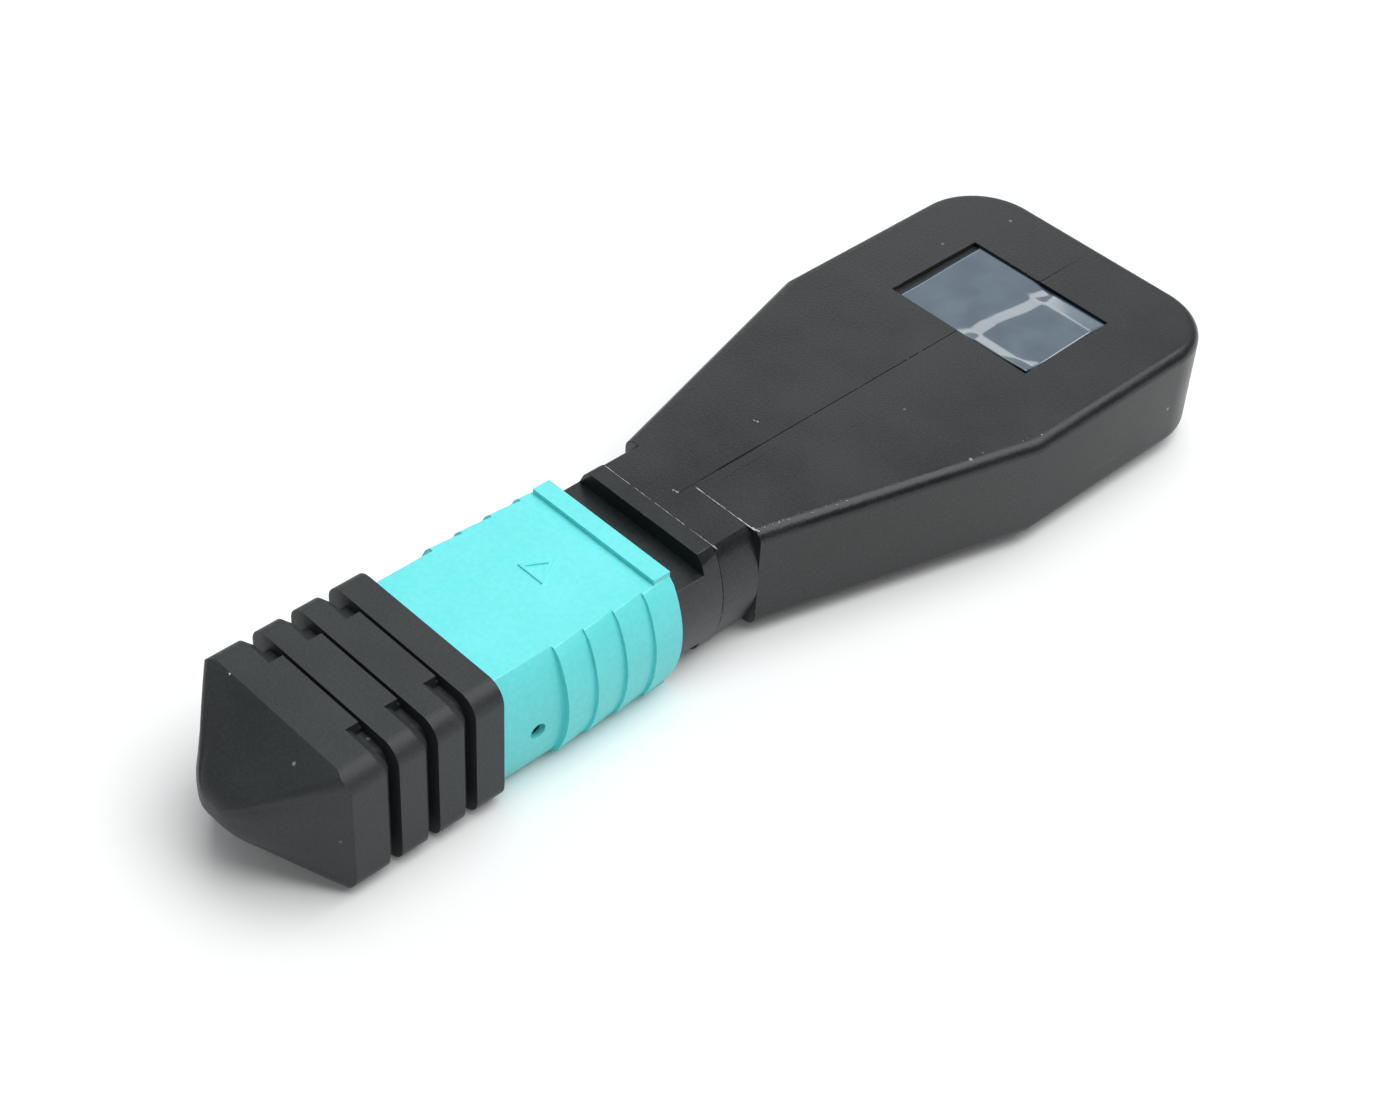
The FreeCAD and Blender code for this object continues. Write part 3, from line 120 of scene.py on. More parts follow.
def blend(tree: NodeTree, first: str | NodeSocket, second: str, factor: NodeSocket) -> NodeSocket:
    """Mix two colours.

    Args:
        tree: The node tree.
        first: Hex colour or colour socket at a factor of 0.
        second: Hex colour at a factor of 1.
        factor: How far the mix is towards the second colour.

    Returns:
        The mixed colour's socket.
    """
    settings: dict[Any, Any] = {"data_type": "RGBA", 7: linear(second)}
    links = {0: factor}
    if isinstance(first, str):
        settings[6] = linear(first)
    else:
        links[6] = first
    return add_node(tree, "ShaderNodeMix", settings, links).outputs[2]


def start_material(name: str) -> tuple[Material, NodeTree, NodeSocket]:
    """Start a material.

    Args:
        name: The material's name.

    Returns:
        The material, its tree, and its coordinates' socket.
    """
    material = bpy.data.materials.new(name)
    material.use_nodes = True
    tree = material.node_tree
    return material, tree, add_node(tree, "ShaderNodeTexCoord").outputs["Object"]


def set_surface(tree: NodeTree, colour: NodeSocket, rough: NodeSocket, height: NodeSocket,
                relief: tuple[float, float], values: dict[str, float]) -> None:
    """Set up a material's shader.

    Args:
        tree: The material's node tree.
        colour: The base colour.
        rough: The roughness.
        height: The fine relief as a factor.
        relief: The relief's strength, and its depth in metres.
        values: The shader's other inputs by name.
    """
    shader = tree.nodes["Principled BSDF"]
    strength, depth = relief
    bump = add_node(tree, "ShaderNodeBump", {"Strength": strength, "Distance": depth}, {"Height": height})
    for title, socket in (("Base Color", colour), ("Roughness", rough), ("Normal", bump.outputs[0])):
        tree.links.new(socket, shader.inputs[title])
    for title, value in values.items():
        shader.inputs[title].default_value = value


class Grain(Enum):
    """How a moulded surface was left by its mould."""

    SPARK_ERODED = (0.16, 0.00003)
    SATIN = (0.30, 0.000012)
    POLISHED = (0.60, 0.000004)

    @property
    def pitch_mm(self) -> float:
        """Distance between the surface's bumps."""
        return self.value[0]

    @property
    def depth_m(self) -> float:
        """Height of the surface's bumps."""
        return self.value[1]


@dataclass(frozen=True)
class MouldedPlastic:
    """An injection-moulded plastic: even colour, fine mould grain, a little handling gloss and dust."""

    name: str
    colour: str
    shade: str
    roughness: float
    grain: Grain
    roughness_spread: float = 0.06
    dust: float = 0.0
    dust_colour: str = "#8f9698"
    scratches: float = 0.0
    rubbed: str = ""
    rubbed_share: float = 0.3
    ior: float = 1.5
    # Waves per metre of the slow change of tone, of the rubbed spots and their zones, and of the dust.
    cloud_scale: float = 180.0
    spot_scale: float = 2600.0
    zone_scale: float = 260.0
    dust_scale: float = 1100.0
    # Turn and stretch of the noise that draws the scratches.
    scratch_turn: tuple[float, float, float] = (0.0, 0.0, 0.6)
    scratch_scale: tuple[float, float, float] = (2600.0, 110.0, 900.0)

    def build(self) -> Material:
        """Build the material.

        Returns:
            The material.
        """
        material, tree, place = start_material(self.name)
        cloud = noise(tree, place, self.cloud_scale, 3.0, 0.55)
        fine = noise(tree, place, 1000.0 / self.grain.pitch_mm, 2.0)
        tone = add_node(tree, "ShaderNodeMix", {"data_type": "FLOAT", 0: 0.5}, {2: cloud, 3: fine})
        colour = blend(tree, self.colour, self.shade, ramp(tree, tone.outputs[0], 0.38, 0.62))
        if self.rubbed:
            colour = self.rubbed_patches(tree, place, colour)
        if self.dust:
            colour = self.dusted(tree, place, colour)
        rough = ramp(tree, cloud, 0.3, 0.7, self.roughness - self.roughness_spread,
                     self.roughness + self.roughness_spread)
        height = fine
        if self.scratches:
            marks = self.scratch_marks(tree, place)
            rough = combine(tree, "SUBTRACT", rough, marks)
            height = combine(tree, "SUBTRACT", fine, marks)
        set_surface(tree, colour, rough, height, (0.55, self.grain.depth_m), {"IOR": self.ior})
        return material

    def rubbed_patches(self, tree: NodeTree, place: NodeSocket, colour: NodeSocket) -> NodeSocket:
        """Break a colour up with paler spots of about 0.3 mm, where an edge is rubbed.

        Args:
            tree: The node tree.
            place: The coordinates.
            colour: The unworn colour.

        Returns:
            The worn colour's socket.
        """
        spots = noise(tree, place, self.spot_scale, 3.0, 0.7)
        zones = noise(tree, place, self.zone_scale, 1.0)
        worn = combine(tree, "MULTIPLY", ramp(tree, spots, 0.5, 0.66),
                       ramp(tree, zones, 0.62 - self.rubbed_share / 2, 0.66))
        return blend(tree, colour, self.rubbed, worn)

    def dusted(self, tree: NodeTree, place: NodeSocket, colour: NodeSocket) -> NodeSocket:
        """Scatter pale dust specks of about 0.1 mm over a colour.

        Args:
            tree: The node tree.
            place: The coordinates.
            colour: The colour under the dust.

        Returns:
            The dusted colour's socket.
        """
        cells = add_node(tree, "ShaderNodeTexVoronoi", {"Scale": self.dust_scale}, {"Vector": place})
        chance = add_node(tree, "ShaderNodeTexWhiteNoise", {"noise_dimensions": "3D"},
                          {"Vector": cells.outputs["Position"]}).outputs["Value"]
        speck = combine(tree, "MULTIPLY", ramp(tree, cells.outputs["Distance"], 0.16, 0.06),
                        ramp(tree, chance, 1.0 - self.dust, 1.0 - self.dust + 0.01))
        return blend(tree, colour, self.dust_colour, speck)

    def scratch_marks(self, tree: NodeTree, place: NodeSocket) -> NodeSocket:
        """Draw a few hairline scratches.

        Args:
            tree: The node tree.
            place: The coordinates.

        Returns:
            A factor that is above 0 along the scratches.
        """
        stretched = add_node(tree, "ShaderNodeMapping", {
            "Rotation": self.scratch_turn, "Scale": self.scratch_scale}, {"Vector": place})
        lines = noise(tree, stretched.outputs[0], 1.0, 1.0)
        return ramp(tree, lines, 0.74, 0.8, 0.0, self.scratches)


@dataclass(frozen=True)
class LabelFilm:
    """A glossy polyester film: smooth, slate grey, with a faint cloudy print layer below the gloss."""

    name: str = "polyester_label_film_glossy"
    colour: str = "#46586a"
    shade: str = "#556878"
    # Set for the look: above polyester's own index of about 1.6, which makes the streaks brighter.
    ior: float = 1.85
    coat_roughness: float = 0.08

    def build(self) -> Material:
        """Build the material.

        Returns:
            The material.
        """
        material, tree, place = start_material(self.name)
        cloud = noise(tree, place, 420.0, 2.0)
        set_surface(tree, blend(tree, self.colour, self.shade, ramp(tree, cloud, 0.35, 0.65)),
                    ramp(tree, cloud, 0.3, 0.7, 0.09, 0.14), cloud, (0.4, 0.00001),
                    {"IOR": self.ior, "Coat Weight": 1.0, "Coat Roughness": self.coat_roughness})
        return material


@dataclass(frozen=True)
class DrawnWire:
    """Drawn stainless spring wire: bright, with faint draw lines round the wire."""

    name: str = "stainless_spring_wire_drawn"
    colour: str = "#c3c4c6"
    shade: str = "#a9abae"

    def build(self) -> Material:
        """Build the material.

        Returns:
            The material.
        """
        material, tree, place = start_material(self.name)
        lines = noise(tree, place, 9000.0, 1.0)
        set_surface(tree, blend(tree, self.colour, self.shade, ramp(tree, lines, 0.4, 0.6)),
                    ramp(tree, lines, 0.3, 0.7, 0.2, 0.34), lines, (0.4, 0.000004), {"Metallic": 1.0})
        return material


# --- mesh helpers ---------------------------------------------------------------------------------

def merged_copy(node: str) -> BMesh:
    """Copy a CAD node's triangles into a joined mesh in millimetres, its flat faces made whole.

    Args:
        node: The CAD node's name.

    Returns:
        The copy, which the caller frees.
    """
    mesh = bmesh.new()
    mesh.from_mesh(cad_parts[node].data)
    bmesh.ops.scale(mesh, vec=(1 / MM,) * 3, verts=mesh.verts)
    bmesh.ops.remove_doubles(mesh, verts=mesh.verts, dist=WELD_MM)
    bmesh.ops.dissolve_limit(mesh, angle_limit=math.radians(FLAT_DEGREES), verts=mesh.verts,
                             edges=mesh.edges)
    return mesh


def sharp_edges(mesh: BMesh) -> list[BMEdge]:
    """Return the edges that are sharp enough to get a radius."""
    limit = math.radians(SHARP_DEGREES)
    return [edge for edge in mesh.edges
            if len(edge.link_faces) == 2 and edge.calc_face_angle(0.0) > limit]


def linked(name: str, data: Any) -> Object:
    """Make an object of some data and add it to the scene.

    Args:
        name: The object's name.
        data: Its mesh, camera or light.

    Returns:
        The object.
    """
    made = bpy.data.objects.new(name, data)
    bpy.context.scene.collection.objects.link(made)
    return made


def finished(mesh: BMesh, name: str, materials: Iterable[Material],
             smooth_angle: float = 32.0) -> Object:
    """Turn a mesh in millimetres into a piece at the origin, smooth between its sharp edges.

    Args:
        mesh: The mesh, which is freed.
        name: The piece's name.
        materials: The piece's materials, by slot.
        smooth_angle: Edges over this many degrees stay sharp.

    Returns:
        The piece.
    """
    bmesh.ops.recalc_face_normals(mesh, faces=mesh.faces)
    bmesh.ops.scale(mesh, vec=(MM,) * 3, verts=mesh.verts)
    data = bpy.data.meshes.new(name)
    mesh.to_mesh(data)
    mesh.free()
    for polygon in data.polygons:
        polygon.use_smooth = True
    data.set_sharp_from_angle(angle=math.radians(smooth_angle))
    piece = linked(name, data)
    for material in materials:
        data.materials.append(material)
    weigh = piece.modifiers.new("weighted normals", "WEIGHTED_NORMAL")
    weigh.keep_sharp = True
    return piece


def softened(node: str, name: str, materials: Iterable[Material],
             radius_at: Callable[[BMEdge], float],
             reshape: Callable[[BMesh], None] | None = None) -> Object:
    """Copy a CAD node with the small edge radii that a mould leaves, each edge with its own.

    Args:
        node: The CAD node's name.
        name: The piece's name.
        materials: The piece's materials; the second one goes to the rounded edges.
        radius_at: Gives a sharp edge's radius in millimetres, or 0 to leave it.
        reshape: Changes the copy before its edges are chosen.

    Returns:
        The piece.
    """
    mesh = merged_copy(node)
    if reshape:
        reshape(mesh)
    weight = mesh.edges.layers.float.new("bevel_weight_edge")
    radii = {edge: radius_at(edge) for edge in sharp_edges(mesh)}
    largest = max(radii.values())
    for edge, radius in radii.items():
        edge[weight] = radius / largest
    piece = finished(mesh, name, materials)
    rounding = piece.modifiers.new("edge radii", "BEVEL")
    rounding.limit_method = "WEIGHT"
    rounding.width = largest * MM
    rounding.segments = 3
    rounding.material = 1
    rounding.use_clamp_overlap = True
    rounding.harden_normals = False
    piece.modifiers.move(len(piece.modifiers) - 1, 0)
    return piece


@dataclass(frozen=True)
class Slope:
    """A value that grows evenly from nothing at one place to its full size at another."""

    size: float
    start: float
    end: float

    def at(self, place: float) -> float:
        """Return the value at a place."""
        return self.size * min(max((place - self.start) / (self.end - self.start), 0.0), 1.0)


def steps_between(value: float, stations: tuple[tuple[float, float], ...]) -> float:
    """Return the value of a line through some stations, level beyond both ends.

    Args:
        value: Where to read the line.
        stations: Place and value of each station, in order.

    Returns:
        The line's value.
    """
    for (start, low), (end, high) in zip(stations, stations[1:]):
        if value <= end:
            return low + Slope(high - low, start, end).at(value)
    return stations[-1][1]


def middle(edge: BMEdge) -> Vector:
    """Return the middle of an edge, in millimetres."""
    return (edge.verts[0].co + edge.verts[1].co) / 2


def run_of(edge: BMEdge) -> Vector:
    """Return an edge's direction, of length 1."""
    return (edge.verts[1].co - edge.verts[0].co).normalized()


def joint_radius(edge: BMEdge, top: float) -> float:
    """Return an edge's radius at the joint of paddle and collar.

    Args:
        edge: The edge, in millimetres.
        top: Height above which the edge belongs to the flat top.

    Returns:
        The radius, which is small on the flat top, or 0 away from the joint.
    """
    if any(abs(vert.co.y - NECK_JOINT) >= ON_PLANE for vert in edge.verts):
        return 0.0
    centre = middle(edge)
    return TOP_JOINT_RADIUS if centre.z > top and abs(centre.x) < TOP_HALF_WIDTH else JOINT_RADIUS


def as_mesh_piece(carrier: Object, name: str) -> Object:
    """Turn the result of a carrier's modifiers into a plain mesh piece and delete the carrier.

    Args:
        carrier: The object whose node tree makes the shape.
        name: The piece's name.

    Returns:
        The piece.
    """
    bpy.context.view_layer.update()
    graph = bpy.context.evaluated_depsgraph_get()
    data = bpy.data.meshes.new_from_object(carrier.evaluated_get(graph), preserve_all_data_layers=True,
                                           depsgraph=graph)
    data.name = name
    seeds = carrier.data
    bpy.data.objects.remove(carrier)
    bpy.data.meshes.remove(seeds)
    return linked(name, data)


def carrier_of(lines: Iterable[list[Vector]], tree: NodeTree,
               inputs: dict[str, float]) -> Object:
    """Make an object of open lines in millimetres, with a geometry tree on it.

    Args:
        lines: The points of each line.
        tree: The geometry tree.
        inputs: The tree's inputs by name.

    Returns:
        The carrier.
    """
    points: list[Vector] = []
    edges: list[tuple[int, int]] = []
    for line in lines:
        edges += [(len(points) + step, len(points) + step + 1) for step in range(len(line) - 1)]
        points += [point * MM for point in line]
    data = bpy.data.meshes.new("lines")
    data.from_pydata(points, edges, [])
    carrier = linked("lines", data)
    modifier = carrier.modifiers.new("tree", "NODES")
    modifier.node_group = tree
    for socket in tree.interface.items_tree:
        if socket.item_type == "SOCKET" and socket.in_out == "INPUT" and socket.name in inputs:
            modifier[socket.identifier] = inputs[socket.name]
    return carrier


def new_geometry_tree(name: str, inputs: dict[str, tuple[str, float]]) -> tuple[
        NodeTree, Node, NodeSocket]:
    """Start a geometry tree that works on open lines.

    Args:
        name: The tree's name.
        inputs: Socket type and default value of each size, by name.

    Returns:
        The tree, its group input node, and the lines as curves.
    """
    tree = bpy.data.node_groups.new(name, "GeometryNodeTree")
    tree.interface.new_socket("Geometry", in_out="INPUT", socket_type="NodeSocketGeometry")
    for title, (kind, value) in inputs.items():
        socket = tree.interface.new_socket(title, in_out="INPUT", socket_type=kind)
        socket.default_value = value
    tree.interface.new_socket("Geometry", in_out="OUTPUT", socket_type="NodeSocketGeometry")
    sizes = add_node(tree, "NodeGroupInput")
    curve = add_node(tree, "GeometryNodeMeshToCurve", {}, {"Mesh": sizes.outputs["Geometry"]})
    return tree, sizes, curve.outputs[0]


def points_along(tree: NodeTree, curve: NodeSocket, step: NodeSocket) -> NodeSocket:
    """Return a curve cut into even steps."""
    return add_node(tree, "GeometryNodeResampleCurve", {"mode": "LENGTH"},
                    {"Curve": curve, "Length": step}).outputs[0]


def tube_along(tree: NodeTree, curve: NodeSocket, sides: int, radius: NodeSocket,
               **scale: NodeSocket) -> NodeSocket:
    """Return a closed tube along a curve, whose Scale may change on the way."""
    ring = add_node(tree, "GeometryNodeCurvePrimitiveCircle", {"Resolution": sides}, {"Radius": radius})
    return add_node(tree, "GeometryNodeCurveToMesh", {"Fill Caps": True}, {
        "Curve": curve, "Profile Curve": ring.outputs["Curve"], **scale}).outputs[0]


def end_geometry_tree(tree: NodeTree, shape: NodeSocket, material: Material) -> NodeTree:
    """Make a geometry tree's result a real mesh with a material.

    Args:
        tree: The geometry tree.
        shape: The socket of the shape.
        material: The shape's material.

    Returns:
        The tree.
    """
    whole = add_node(tree, "GeometryNodeRealizeInstances", {}, {"Geometry": shape})
    shaded = add_node(tree, "GeometryNodeSetMaterial", {"Material": material},
                      {"Geometry": whole.outputs[0]})
    add_node(tree, "NodeGroupOutput", {}, {"Geometry": shaded.outputs[0]})
    return tree


def dress(node: str, material: Material) -> None:
    """Give a CAD node that stays a better material.

    Args:
        node: The CAD node's name.
        material: Its new material.
    """
    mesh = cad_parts[node].data
    mesh.materials.clear()
    mesh.materials.append(material)


# --- sub-assemblies -------------------------------------------------------------------------------

@dataclass
class PaddleHousing:
    """The two moulded halves of the paddle, the hairline seam between them and the blank film."""

    edge_radius: float = 0.07
    # The solid's groove along the seam: how far its rim is from the middle, and its floor's height.
    groove_rim: tuple[float, float] = (0.06, 0.1)
    groove_floor: tuple[float, float] = (7.5, 7.62)
    # Place along the paddle and half the seam's width there.
    seam_half_widths: tuple[tuple[float, float], ...] = (
        (-2.3, 0.0), (-2.1, 0.02), (0.6, 0.03), (0.9, 0.075), (3.4, 0.07), (4.3, 0.032),
        (20.0, 0.026), (29.0, 0.026), (32.2, 0.004))
    seam_floor: float = 7.4
    film_steps: int = 56
    film_thickness: float = 0.05
    # The film is this much wider than the solid's, on its right.
    film_overhang: float = 0.74
    # The film's relief: places go from -1 to 1 across it, from the left, and along it, from the front.
    right_half: Slope = Slope(1.0, -0.12, 0.15)
    crease: Slope = Slope(0.12, 0.02, 0.22)
    crease_bend: float = 0.05
    swell: Slope = Slope(0.03, 0.24, 1.0)
    front_lift: Slope = Slope(0.10, 0.78, 1.0)
    corner_curl: Slope = Slope(0.10, 0.78, 1.0)
    rear_lift: Slope = Slope(0.11, -0.4, 0.56)
    rear_dip: Slope = Slope(-0.17, 0.62, 1.0)
    cockle: float = 0.004
    # Black polycarbonate from a spark-eroded mould: matt and finely grained, greyish where light
    # lies on it, with hairline scratches and a few dust specks.
    finish: MouldedPlastic = MouldedPlastic(
        "polycarbonate_black_spark_eroded", "#111315", "#262a2c", 0.35, Grain.SPARK_ERODED,
        dust=0.03, scratches=0.12)
    # The same plastic on the edges and the seam's walls: dull, with pale rubbed spots where hands and
    # trays rub the edges, and a darker base, which is painted shade. Its index is set for the look, below
    # the plastic's own of about 1.58, and keeps highlights off.
    edge_finish: MouldedPlastic = MouldedPlastic(
        "polycarbonate_black_edge_rubbed_and_painted_shade", "#0f1112", "#1a1c1d", 0.55, Grain.SATIN,
        rubbed="#8a9093", rubbed_share=0.2, ior=1.25)
    # Glossy polyester film over a grey layer: dark slate, with bright streaks where it ripples.
    film: LabelFilm = LabelFilm()

    def build(self) -> list[Object]:
        """Build and place the pieces.

        Returns:
            The pieces.
        """
        black, edge = self.finish.build(), self.edge_finish.build()
        pieces = []
        for side in ("right", "left"):
            node = "housing_half_" + side
            piece = softened(node, "paddle_half_" + side, (black, edge), self.radius_at,
                             self.narrow_seam)
            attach(piece, "loopback_housing")
            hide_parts(node)
            pieces.append(piece)
        pieces.append(self.build_film())
        return pieces

    def narrow_seam(self, mesh: BMesh) -> None:
        """Narrow the seam's groove on the top to a hairline, deepen it, and give its walls the darker edge
        material as painted shade.

        Args:
            mesh: The copy of one half, in millimetres.
        """
        inner, outer = self.groove_rim
        low, high = self.groove_floor

        def on_seam(vert: BMVert) -> bool:
            """Tell whether a point lies on the groove's upper rim."""
            return inner < abs(vert.co.x) < outer and vert.co.z > 7.6

        for station, _ in self.seam_half_widths:
            rim = [edge for edge in mesh.edges if all(on_seam(vert) for vert in edge.verts)]
            points = list({vert for edge in rim for vert in edge.verts})
            bmesh.ops.bisect_plane(mesh, geom=rim + points, dist=0.0001,
                                   plane_co=(0.0, station, 0.0), plane_no=(0.0, 1.0, 0.0))
        for vert in mesh.verts:
            if on_seam(vert):
                vert.co.x = math.copysign(steps_between(vert.co.y, self.seam_half_widths), vert.co.x)
            elif abs(vert.co.x) < 0.01 and low < vert.co.z < high:
                vert.co.z = self.seam_floor
        # The groove's walls take the edge material, whose darker base paints the shade in the groove.
        for face in mesh.faces:
            if all(abs(vert.co.x) < outer and vert.co.z > self.seam_floor - 0.01 for vert in face.verts):
                face.material_index = 1

    def radius_at(self, edge: BMEdge) -> float:
        """Return an edge's radius: none along the seam, more round the joint with the collar."""
        on_seam = abs(middle(edge).x) < self.groove_rim[1]
        return 0.0 if on_seam else joint_radius(edge, 7.5) or self.edge_radius

    def build_film(self) -> Object:
        """Build the film, with a soft crease along it, a raised rear and a curled corner.

        Returns:
            The film.
        """
        low, high = (Vector(corner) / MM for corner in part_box("label_film"))
        high.x += self.film_overhang
        mesh = bmesh.new()
        bmesh.ops.create_grid(mesh, x_segments=self.film_steps, y_segments=self.film_steps, size=0.5)
        size = high - low
        for vert in mesh.verts:
            across, along = vert.co.x * 2, vert.co.y * 2
            vert.co = Vector((low.x + size.x * (vert.co.x + 0.5), low.y + size.y * (vert.co.y + 0.5),
                              low.z + self.film_thickness + 0.01 + self.film_rise(across, along)))
        piece = finished(mesh, "label_film_blank", (self.film.build(),), 60.0)
        wall = piece.modifiers.new("thickness", "SOLIDIFY")
        wall.thickness = self.film_thickness * MM
        wall.offset = -1.0
        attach(piece, "loopback_housing")
        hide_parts("label_film")
        return piece

    def film_rise(self, across: float, along: float) -> float:
        """Return how far the film stands off its recess, in millimetres.

        Args:
            across: Place across the film, from -1 at the left to 1 at the right.
            along: Place along the film, from -1 at the front to 1 at the rear.

        Returns:
            The height.
        """
        bend = self.crease_bend * math.sin(3.1 * along)
        right = self.right_half.at(across)
        return (self.crease.at(across - bend) + self.swell.at(across)
                + self.front_lift.at(-along) * right + self.corner_curl.at((across - along) / 2)
                + self.rear_lift.at(along) + self.rear_dip.at(along) * right
                + self.cockle * math.sin(7 * across + 1.0) * math.cos(5 * along))


@dataclass
class NeckMarks:
    """Pale broken threads at the neck, partly the mould's flash and partly a painted highlight on its
    edges; the scuffs on the paddle's right edge; and specks.
    """

    flash_radius: float = 0.045
    flash_sides: int = 5
    piece_length: float = 0.05
    grain_radius: float = 0.05
    spacing: float = 0.16
    keep_share: float = 0.5
    scatter: float = 0.13
    speck_radius: float = 0.085
    speck_spacing: float = 0.08
    speck_scatter: float = 0.04
    seed: int = 4
    # Lines in millimetres, their heights counted from the top of the paddle or cap that they lie on.
    # The threads along the neck joint and the shoulder are partly flash and partly a painted highlight on
    # those edges.
    flash: Lines = (((-4.3, NECK_JOINT + 0.05, 0.01), (4.5, NECK_JOINT + 0.05, 0.01)),
                    ((0.3, SHOULDER, -0.012), (5.0, SHOULDER, -0.012)),
                    ((4.75, SHOULDER + 0.05, 0.01), (5.1, SHOULDER + 0.1, -0.04)),
                    ((4.3, NECK_JOINT + 0.06, 0.0), (4.7, NECK_JOINT + 0.1, -0.04)))
    shoulder_scuffs: Lines = (((4.95, SHOULDER + 0.1, -0.02), (6.6, 4.9, -0.02)),
                              ((4.9, SHOULDER + 0.1, -0.02), (5.4, 0.8, -0.02)))
    specks: Lines = (((-0.36, -2.3, 0.01), (-0.02, -2.2, 0.01)),
                     ((-1.8, 5.4, 0.01), (-1.55, 5.5, 0.01)),
                     ((4.75, SHOULDER, 0.01), (5.15, SHOULDER + 0.1, -0.02)),
                     ((4.35, NECK_JOINT + 0.05, 0.05), (4.6, NECK_JOINT + 0.1, 0.0)))
    cap_speck: Lines = (((-3.8, -29.72, -0.03), (-3.65, -29.75, -0.03)),)
    # The same, with places across counted from the paddle's right side.
    side_scuffs: Lines = (((-1.2, 14.9, -0.02), (-0.6, 17.6, -0.02)),)
    # Thin flash and scuffed black plastic, stretched and bruised, which turns it pale grey; on the threads
    # at the neck joint and the shoulder the pale grey is also a painted highlight.
    finish: MouldedPlastic = MouldedPlastic(
        "polycarbonate_bruised_pale_and_painted_highlight", "#a3a9ab", "#e2e6e7", 0.5, Grain.SATIN)

    def build(self) -> list[Object]:
        """Build the threads of flash and painted highlight, the scuffs and the specks.

        Returns:
            The pieces.
        """
        bruised = self.finish.build()
        side, _, top = (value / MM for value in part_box("housing_half_right")[1])
        cap_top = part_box("dust_cap")[1][2] / MM
        flash_sizes = {"Flash radius": self.flash_radius * MM, "Piece length": self.piece_length * MM,
                       "Seed": self.seed}
        grain_sizes = {"Grain radius": self.grain_radius * MM, "Spacing": self.spacing * MM,
                       "Keep share": self.keep_share, "Scatter": self.scatter * MM, "Seed": self.seed}
        speck_sizes = {"Grain radius": self.speck_radius * MM, "Spacing": self.speck_spacing * MM,
                       "Keep share": 1.0, "Scatter": self.speck_scatter * MM, "Seed": self.seed}
        grains = self.grain_tree(bruised)
        scuffs = self.raised(self.shoulder_scuffs, 0.0, top) + self.raised(self.side_scuffs, side, top)
        pieces = []
        for name, body, slot, lines, tree, sizes in (
                ("neck_flash_and_painted_highlight", "loopback_housing", "housing", self.raised(self.flash, 0.0, top),
                 self.flash_tree(bruised), flash_sizes),
                ("paddle_edge_scuffs", "loopback_housing", "housing", scuffs, grains, grain_sizes),
                ("paddle_specks", "loopback_housing", "housing", self.raised(self.specks, 0.0, top),
                 grains, speck_sizes),
                ("cap_speck", "cap", "cap", self.raised(self.cap_speck, 0.0, cap_top), grains,
                 speck_sizes)):
            piece = as_mesh_piece(carrier_of(lines, tree, sizes), name)
            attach(piece, body)
            pieces.append(piece)
        return pieces

    @staticmethod
    def raised(lines: Lines, side: float, top: float) -> list[list[Vector]]:
        """Return lines that are counted from a side and a top, as points in the frame."""
        return [[Vector((side + x, y, top + z)) for x, y, z in line] for line in lines]

    def flash_tree(self, material: Material) -> NodeTree:
        """Build the tree that draws a thread of uneven thickness along each line.

        Args:
            material: The thread's material.

        Returns:
            The tree.
        """
        tree, sizes, curve = new_geometry_tree("flash_and_highlight_thread", {
            "Flash radius": ("NodeSocketFloat", 0.00003), "Piece length": ("NodeSocketFloat", 0.00005),
            "Seed": ("NodeSocketInt", 0)})
        points = points_along(tree, curve, sizes.outputs["Piece length"])
        place = add_node(tree, "GeometryNodeInputPosition").outputs[0]
        uneven = add_node(tree, "ShaderNodeTexNoise", {
            "noise_dimensions": "4D", "Scale": 2200.0, "Detail": 3.0, "Roughness": 0.7},
            {"Vector": place, "W": sizes.outputs["Seed"]}).outputs["Fac"]
        thread = tube_along(tree, points, self.flash_sides, sizes.outputs["Flash radius"],
                            Scale=ramp(tree, uneven, 0.4, 0.62, 0.25, 1.0))
        return end_geometry_tree(tree, thread, material)

    @staticmethod
    def grain_tree(material: Material) -> NodeTree:
        """Build the tree that strews flat grains of random size along each line.

        Args:
            material: The grains' material.

        Returns:
            The tree.
        """
        tree, sizes, curve = new_geometry_tree("edge_grains", {
            "Grain radius": ("NodeSocketFloat", 0.00004), "Spacing": ("NodeSocketFloat", 0.0002),
            "Keep share": ("NodeSocketFloat", 0.4), "Scatter": ("NodeSocketFloat", 0.0001),
            "Seed": ("NodeSocketInt", 0)})
        seed = {"Seed": sizes.outputs["Seed"]}
        aside = add_node(tree, "FunctionNodeRandomValue", {
            "data_type": "FLOAT_VECTOR", 0: (-1.0, -1.0, -0.1), 1: (1.0, 1.0, 0.1)}, seed).outputs[0]
        offset = add_node(tree, "ShaderNodeVectorMath", {"operation": "SCALE"},
                          {0: aside, "Scale": sizes.outputs["Scatter"]}).outputs[0]
        strewn = add_node(tree, "GeometryNodeSetPosition", {}, {
            "Geometry": points_along(tree, curve, sizes.outputs["Spacing"]), "Offset": offset})
        kept = add_node(tree, "FunctionNodeRandomValue", {"data_type": "BOOLEAN"},
                        {"Probability": sizes.outputs["Keep share"], **seed}).outputs[3]
        size = add_node(tree, "FunctionNodeRandomValue", {
            "data_type": "FLOAT_VECTOR", 0: (0.2, 0.25, 0.25), 1: (1.3, 0.8, 0.4)}, seed).outputs[0]
        grain = add_node(tree, "GeometryNodeMeshIcoSphere", {"Subdivisions": 1},
                         {"Radius": sizes.outputs["Grain radius"]})
        placed = add_node(tree, "GeometryNodeInstanceOnPoints", {}, {
            "Points": strewn.outputs[0], "Selection": kept, "Instance": grain.outputs["Mesh"],
            "Scale": size})
        return end_geometry_tree(tree, placed.outputs[0], material)


